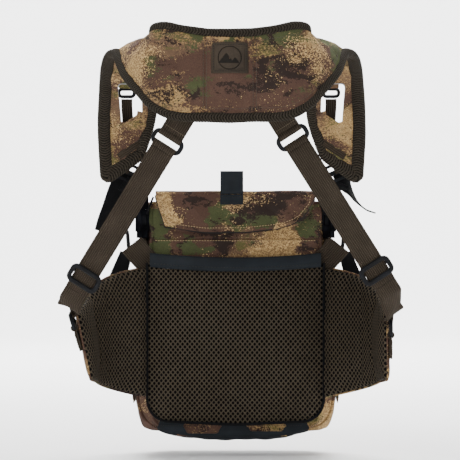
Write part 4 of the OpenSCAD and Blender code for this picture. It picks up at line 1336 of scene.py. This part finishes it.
def build_wing(name, s):
    """One wing: mesh inside, camo outside, padded in the middle and flared a little at its tip."""
    line = wing_line()
    share = np.arange(len(line)) / (len(line) - 1)
    d0 = np.linalg.norm(line - line[0], axis=1)
    line[:, 1] += 3.6 * np.exp(-d0 / 6)
    line = np.vstack([line[:1] + [-0.8, 3.2], line + [1.2, 0]])
    share = np.concatenate([[0], share])
    flare_low, flare_high = 1.1 + 4.4 * s, 8.0 - 3.0 * s
    k, nz = 4, 34
    u_at = smooth(share[:, None], k)[:, 0]
    p2 = smooth(line, k)
    n, d, h = len(p2), lengths(p2), tangents(p2)
    nrm = np.stack([-h[:, 1], h[:, 0]], 1)
    front, back, uv = np.zeros((n, nz, 3)), np.zeros((n, nz, 3)), np.zeros((n, nz, 2))
    for i in range(n):
        u = min(u_at[i], 1)
        lo, hi = wing_bottom(u) + 1.5, wing_top(u) - 1.5
        z = np.linspace(lo, hi, nz)
        edge = np.minimum.reduce([z - lo, hi - z, np.full(nz, min(d[-1] - d[i], 0.62 * d[i]))])
        puff = 1 - np.exp(-np.clip(edge, 0, 99) / 4.5)
        half = 1.9 + (4.4 - 1.5 * u) * puff
        flare = (flare_low + (flare_high - flare_low) * np.linspace(0, 1, nz)) * u * u
        at = np.stack([p2[i, 0] + flare, np.full(nz, p2[i, 1]), z], 1)
        off = np.array([nrm[i, 0], nrm[i, 1], 0])
        front[i], back[i] = at - off * half[:, None], at + off * half[:, None]
        uv[i] = np.stack([np.full(nz, PANEL_W / 2 + d[i]), z], 1) * MM
    obj, pin = closed_pad(f"wing_pad_{name}", m_side(front, s), m_side(back, s),
                          uv * np.array([s, 1]), f"wing_{name}", "mesh", "camo", rim_second=False)
    run_cloth(obj, pin, pressure=3.0, shrink=-0.01, cap=2.2)
    subdivide(obj, 1)
    displace(obj, 0.6, 30, 5.0 + s)
    done(obj, f"wing_{name}")
    # Piping round the wing's free edge
    top, bottom = [], []
    for i in range(2 * k + 2, n):
        u = min(u_at[i], 1)
        x, y = p2[i] + nrm[i]
        top.append((x + flare_high * u * u, y, wing_top(u) - 1.0))
        bottom.append((x + flare_low * u * u, y, wing_bottom(u) + 1.0))
    tube(f"wing_piping_{name}", m_side(arr(*top, *bottom[::-1]), s), 1.1, "camo", f"wing_{name}",
         2.0, 4)


for name, s in SIDES:
    build_wing(name, s)


def build_band():
    """Stiff band along the chest panel's upper edge, with a row of stitches in it."""
    w = PANEL_W / 2 - 1.5
    xs = np.linspace(-w, w, 90)
    z_off = np.array([-3.4, -2.8, -0.5, 2.5, 6.0, 9.0, 11.3, 12.0])
    y_off = np.array([2.6, 0.2, -0.9, -1.0, -0.4, 0.8, 2.2, 3.6])
    front = np.array([[(x, y + 0.4 * math.sin(x / 23.0), panel_top(x) + z)
                       for y, z in zip(y_off, z_off)] for x in xs])
    back = np.array([[(x, PAD_T - 0.5, panel_top(x) + z) for z in z_off] for x in xs])
    uv = front[..., [0, 2]] * MM
    obj, _ = closed_pad("panel_band", front, back, uv, "harness", "hypalon")
    done(obj, "back_band")
    line = np.array([(x, -0.95 + 0.4 * math.sin(x / 23.0), panel_top(x) + 1.0) for x in xs[2:-2]])
    stitches("panel_band_stitch", line, (0, -1, 0), pitch=3.4, length=2.3, r=0.45)


build_band()

# ---------------------------------------------------------------- pack

OUTLINE = 128  # points round the pack


def bottom_inset(z):
    """How far the pack's lower edge is rounded in at height z."""
    over = np.clip((-87 - z) / 10, 0, 1)
    return 10 * (1 - math.sqrt(1 - over * over))


def body_outline(z, inset):
    """The pack's outline at height z, drawn in by inset: flat at the rear, bulging at the sides."""
    low = np.clip(-z - 74, 0, 18)
    rear = PANEL_W / 2 - 3 - (18 - math.sqrt(324 - low * low)) * 0.8
    mid = np.interp(z, [-97, -90, -80, -56, -48, 60, 100, RIM_Z],
                    [104, 105, 108, 112.5, 111, 111, 106, 99])
    front = PANEL_W / 2 - 7
    half = arr([0, 10.7], [0.6 * rear, 10.7], [rear - 7, 11.1], [rear - 1, 12.8], [rear + 2, 17],
               [mid - 3.5, 36], [mid, 57], [mid - 3, 76], [front + 4, 94], [front - 6, 101.5],
               [0.5 * front, 104], [0, 104])
    half = resample(np.hstack([smooth(half, 6), np.zeros((67, 1))]), 1.0)[:, :2]
    at = np.linspace(0, len(half) - 1, OUTLINE // 2 + 1)
    half = np.stack([np.interp(at, np.arange(len(half)), half[:, k]) for k in (0, 1)], 1)
    loop = np.vstack([half, (half * [-1, 1])[-2:0:-1]])
    t = unit(np.roll(loop, -1, 0) - np.roll(loop, 1, 0))
    loop = loop + np.stack([-t[:, 1], t[:, 0]], 1) * inset
    under_flap = np.clip((z - 112) / 6, 0, 1) * np.clip((16 - loop[:, 1]) / 5, 0, 1)
    loop[:, 1] += 1.2 * under_flap
    return loop


def build_body():
    """The pack's padded shell: its outside, a rolled rim, its lining and its floor."""
    bottom, seam, floor, lining = -97.0, 114.6, -84, 4.0
    rings = []

    def ring(z, inset, outline_z=None):
        loop = body_outline(z if outline_z is None else outline_z, inset)
        rings.append(np.hstack([loop, np.full((OUTLINE, 1), z)]))

    for z in np.unique(np.concatenate([np.linspace(bottom, RIM_Z, 96),
                                       np.arange(seam - 4, seam + 4, 0.5)])):
        # The seam across the body is a crease, with its folded edge standing out just below
        inset = bottom_inset(z) + 1.0 * math.exp(-((z - seam) / 0.8) ** 2)
        ring(z, inset - 0.7 * math.exp(-((z - seam + 2.6) / 1.6) ** 2))
    for z, inset in ((RIM_Z + 0.8, 0.8), (RIM_Z + 0.8, 3.2), (RIM_Z, lining)):
        ring(z, inset, RIM_Z)
    for z in np.linspace(RIM_Z - 6, floor, 40):
        ring(z, lining)
    ring(floor - 6, 12.0, floor)
    obj = piece("pack_shell", np.vstack(rings), tube_faces(len(rings), OUTLINE), "camo", sharp=60)
    fix_normals(obj)
    return obj


body = build_body()


def body_sag(co):
    """Less on the floor, on the rear face behind the chest panel, and round the rim."""
    floor = np.clip((co[:, 2] + 100) / 20, 0.15, 1)
    behind = np.where((co[:, 1] < 14) & (co[:, 2] < 88), 0.2, 1.0)
    flap = np.where((co[:, 1] < 14) & (co[:, 2] > 104), 0.25, 1.0)
    return floor * behind * flap * np.clip((RIM_Z + 2 - co[:, 2]) / 12, 0.3, 1)


displace(body, 1.8, 42, 8.0, 3, body_sag)
done(body, "pack_rear", "pack_front", "pack_side_left", "pack_side_right", "pack_base")
body_tree = surface_of(body)

# Two cords of piping down each side of the pack, beside the rear face and at the side panel
for name, s in SIDES:
    for k, (share, r) in enumerate(((0.0, 1.7), (1.0, 1.9))):
        path = []
        for z in np.linspace(RIM_Z - 6, -96, 90):
            side = body_outline(z, bottom_inset(z) - 0.4)[1:62]
            y = 13.5 + 22 * share * np.clip((z + 104) / 30, 0.2, 1)
            i = int(np.argmin(np.abs(side[:, 1] - max(y, side[:, 1].min() + 0.5))
                              + np.where(side[:, 0] < 60, 99, 0)))
            path.append((side[i, 0], side[i, 1], z))
        tube(f"pack_piping_{name}_{k}", m_side(path, s), r, "camo", "harness", 2.0, 10)

lid = soften("lid", "lid_shell", "camo", 1.7, 5)
displace(lid, 0.9, 38, 9.0, 2)
done(lid, "lid")


def flap_low(x):
    """Height of the flap's lower edge, which slopes up to a cut corner at the right."""
    return np.interp(x, [-80, -58, -34, 12, 46, 60, 71, 80],
                     [128.5, 124.5, 121.3, 121.8, 125.5, 129.5, 135.5, 143])


# The creases in the flap, from one point to another across it, with their depth
CREASES = ((-58, 162, -30, 128, 0.9), (-24, 150, 26, 134, 0.8), (22, 164, 60, 136, 1.0),
           (40, 160, 78, 146, 0.7), (-70, 150, -56, 128, 0.6))


def build_flap():
    """The lid's rear flap: one padded sheet that rolls over the top edge, creases where it hangs,
    and stands a little proud along its slanted lower edge. Its back and rim take the near-black
    thread colour, and the back shows just below the lower edge: partly the flap's dark lining,
    partly a painted shadow line under the edge."""
    na, nb, top = 110, 56, 166.2
    down = np.linspace(0, 1, nb)
    left = np.interp(down, [0, 0.2, 0.6, 1], [-87, -86.5, -82, -76.5])
    right = np.interp(down, [0, 0.2, 0.5, 0.8, 0.93, 1], [86.5, 86.5, 84, 80, 77, 72])
    front = np.zeros((na, nb, 3))
    for i, a in enumerate(np.linspace(0, 1, na)):
        x = left + (right - left) * a
        z = top - (top - flap_low(x)) * down
        y = 4.6 + 4.2 * np.exp(-down / 0.035) - 1.1 * np.sin(math.pi * down) - 0.9 * down ** 6
        for x0, z0, x1, z1, depth in CREASES:
            d = arr(x1 - x0, z1 - z0)
            length = float(np.linalg.norm(d))
            along = ((x - x0) * d[0] + (z - z0) * d[1]) / length ** 2
            off = ((x - x0) * d[1] - (z - z0) * d[0]) / length
            fade = np.exp(-((along - 0.5) / 0.42) ** 4)
            fold = np.exp(-(off / 2.6) ** 2) - 0.8 * np.exp(-((off - 4.5) / 3.4) ** 2)
            y = y - depth * fade * fold
        front[i] = np.stack([x, y, z], 1)
    # Distances from the side edges and the lower edge, which are hemmed
    side_edge = np.minimum(np.arange(na), np.arange(na)[::-1])[:, None] * 1.55
    low_edge = np.arange(nb)[::-1][None] * 0.8
    edge = np.minimum(side_edge, low_edge)
    outward = arr(0, 1, 0)
    back = front + outward * (2.4 + 0.6 * (1 - np.exp(-edge / 2.0)))[..., None]
    # The back reaches 1.5 mm below the front's lower edge: partly the dark lining, partly a painted
    # shadow line under the edge
    back[..., 2] -= 1.5 * np.exp(-(low_edge / 2.0) ** 2)
    side_hem = 1.3 * np.exp(-(side_edge / 2.5) ** 2)
    back[..., 0] += side_hem * np.sign(front[..., 0]) * (down > 0.12)[None]
    swell = 0.7 * (1 - np.exp(-edge / 1.6)) - 0.5 * np.exp(-((edge - 5.5) / 1.2) ** 2)
    front = front - outward * swell[..., None]
    # The back and the rim take the near-black thread colour: dark lining, and painted shadow under
    # the flap's edge
    obj, _ = closed_pad("lid_flap", front, back, front[..., [0, 2]] * MM, "lid", "camo",
                        "dark_thread")
    return displace(obj, 0.35, 22, 3.0)


flap = build_flap()
done(flap)
lid_tree = surface_of(flap)

pocket = soften("front_pocket", "pocket_shell", "camo", 2.2, 8)
displace(pocket, 1.3, 40, 11.0)
done(pocket, "front_pocket")
done(soften("side_pockets", "side_pocket_shells", "camo", 0.9, 4), "side_pockets")


def build_guard():
    """Tough panel that wraps under the pack, with two open windows over a puffed camo liner."""
    profile = arr([9.0, -84, 0], [8.8, -91, 0], [9.2, -97.5, 0], [11.5, -102, 0], [17, -104.2, 0],
                  [30, -104.8, 0], [56, -103.6, 0], [82, -101.4, 0], [92, -99, 0])
    profile = resample(smooth(profile, 6), 2.0)[:, :2]
    t = tangents(profile)
    nrm = np.stack([-t[:, 1], t[:, 0]], 1)
    nrm *= np.sign((nrm[0] * [-1, 0]).sum())
    half = np.interp(np.arange(len(profile)), [0, 6, 12, 30, len(profile) - 1],
                     [80, 83, 80, 76, 62])
    front, back = [], []
    for x in np.linspace(-1, 1, 84):
        wave = 0.7 * math.sin(x * 9) + 0.5 * math.sin(x * 23 + 1)
        px = x * half - 4 * np.exp(-profile[:, 0] / 20)
        for grid, off in ((front, 1.3), (back, -1.1)):
            at = profile + nrm * off
            low = np.clip((-profile[:, 1] - 88) / 16, 0, 1)
            lift = (9.0 * abs(x) ** 3.2 + 0.6 * wave) * low
            grid.append(np.stack([px, at[:, 0] + 2.5 * abs(x) ** 3 * low, at[:, 1] + lift], 1))
    front, back = np.array(front), np.array(back)
    panel, _ = closed_pad("guard_panel", front, back, front[..., :2] * MM, "harness", "hypalon")
    for x0, x1, z0 in ((-57, -15, -98.0), (12, 55.5, -95.5)):
        r = 3.4
        line = quarter(x1 - r, -86.5 - r, r, 0, 15) + quarter(x0 + r, -86.5 - r, r, 90, 15)
        line += quarter(x0 + r + 3, z0 + r, r, 180, 15) + quarter(x1 - r - 3, z0 + r, r, 270, 15)
        cut_through(panel, arr(*[(x, 0, z) for x, z in line]), -5, 10.9)
    done(panel, "bottom_guard")
    # Camo liner that puffs out a little behind the windows
    xs, us = np.linspace(-64, 56, 80), np.linspace(0, 1, 16)
    front = np.array([[(x, 10.6 - 1.2 * math.sin(math.pi * u) * (0.75 + 0.25 * math.sin(x / 5.0)),
                        -101 + 14 * u) for u in us] for x in xs])
    back = front.copy()
    back[..., 1] = 11.6
    obj, _ = closed_pad("guard_liner", front, back, front[..., [0, 2]] * MM, "harness", "camo")
    done(obj)
    # Rows of stitches above and below the windows
    for k, z in enumerate((-89.0, -101.0)):
        row = [(x, 0, z) for x in np.arange(-82, 74, 1.5)]
        pts, ns = on_surface(surface_of(panel), row, (0, 1, 0), 30)
        stitches(f"guard_stitch_{k}", pts, ns, pitch=2.6, length=1.8, r=0.28)


build_guard()
done(soften("pull_tab", "pull_grip", "hypalon", 0.5, 3), "pull_tab")
done(soften("tab_base", "pull_base", "hypalon", 0.5, 3), "tab_base")


def pack_seams():
    """Topstitching on the flap, the pull tab's sewn box, and the seam across the body."""
    z0 = RIM_Z + GAP
    rear = LID_W / 2
    edge = [(-rear + 5.5, z0 + 7), (-rear + 9.5, 143), (-rear + 14, 134)]
    edge += [(x, flap_low(x) + 4.6) for x in range(-70, 65, 6)]
    edge += [(70, 140), (74.5, 146), (rear - 6.5, 153), (rear - 5.5, z0 + 7)]
    line = resample(np.array([(x, 0, z) for x, z in edge]), 1.5)
    pts, ns = on_surface(lid_tree, line, (0, 1, 0), 20)
    stitches("flap_stitch", pts, ns, "lid", "tan_thread", 3.0, 2.1, 0.36)
    lo, hi = box_mm("tab_base")
    for k, z in enumerate((lo[2] + 2, lo[2] + 8.5)):
        row = np.array([(x, lo[1] - 0.1, z) for x in np.linspace(lo[0] + 1.5, hi[0] - 1.5, 8)])
        stitches(f"tab_stitch_{k}", row, (0, -1, 0), "lid", pitch=2.8, length=1.9, r=0.42)
    row = [(x, 0, 112.2) for x in np.arange(-88, 88.1, 1.5)]
    pts, ns = on_surface(body_tree, row, (0, 1, 0), 40)
    stitches("body_stitch_0", pts, ns, material="tan_thread", pitch=3.0, length=2.1, r=0.34)


pack_seams()


def build_zip():
    """Woven tape and two rows of moulded teeth."""
    lo, hi = box_mm("zip_tape")
    zc = (lo[2] + hi[2]) / 2
    y = lo[1] + 0.6
    pts = arr([lo[0], y, zc], [0, y, zc], [hi[0], y, zc])
    done(strip("zip_cloth", pts, arr(0, 0, 1), hi[2] - lo[2], 1.1, "black_webbing"), "zip_tape")
    verts, faces = [], []
    for k, x in enumerate(np.arange(lo[0] + 2, hi[0] - 2, 1.5)):
        side = 1 if k % 2 else -1
        b = len(verts)
        for dy, grow in ((0.5, 1.0), (1.9, 0.75)):
            for dx, dz in ((-0.55, -0.4), (0.55, -0.4), (0.55, 2.3), (-0.55, 2.3)):
                verts.append((x + dx * grow, y + dy, zc + side * (dz * grow)))
        faces += [tuple(b + i for i in f) for f in tube_faces(2, 4)]
    obj = piece("zip_teeth", verts, faces, "plastic")
    fix_normals(obj)
    done(obj)


build_zip()

moulded(0.3, "plastic", "zip_slider", "zip_pull")
moulded(0.8, "plastic", "ladder_locks")
moulded(0.8, "matt_plastic", "buckle_female_left", "buckle_female_right", "buckle_male_left",
        "buckle_male_right")
moulded(0.4, "plastic", "latch_rear_left", "latch_front_left", "latch_rear_right",
        "latch_front_right")

# ---------------------------------------------------------------- floor, a sheet bent up behind

FLOOR_Z = cad_box[0][2] - 0.02
paint = Shader("floor_paint", rough=0.9, spec=0.1)
clouds = paint.noise(paint.obj(), 2, 2)
grey = paint.mix(clouds, (0.93, 0.93, 0.93, 1), (0.96, 0.96, 0.96, 1))
LOOKS["floor"] = paint.finish(grey, 0.9), "camo_fabric"
bend = [(3.2 + 1.2 * math.sin(a), 1.2 - 1.2 * math.cos(a))
        for a in np.linspace(0.1, math.pi / 2, 14)]
profile = [(-6, 0), (3.2, 0)] + bend + [(4.4, 5)]
verts = [(x, y, FLOOR_Z + z) for y, z in profile for x in (-6, 6)]
faces = [(2 * i, 2 * i + 1, 2 * i + 3, 2 * i + 2) for i in range(len(profile) - 1)]
floor = piece("floor", verts, faces, "floor", mm=False)
del floor["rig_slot"]
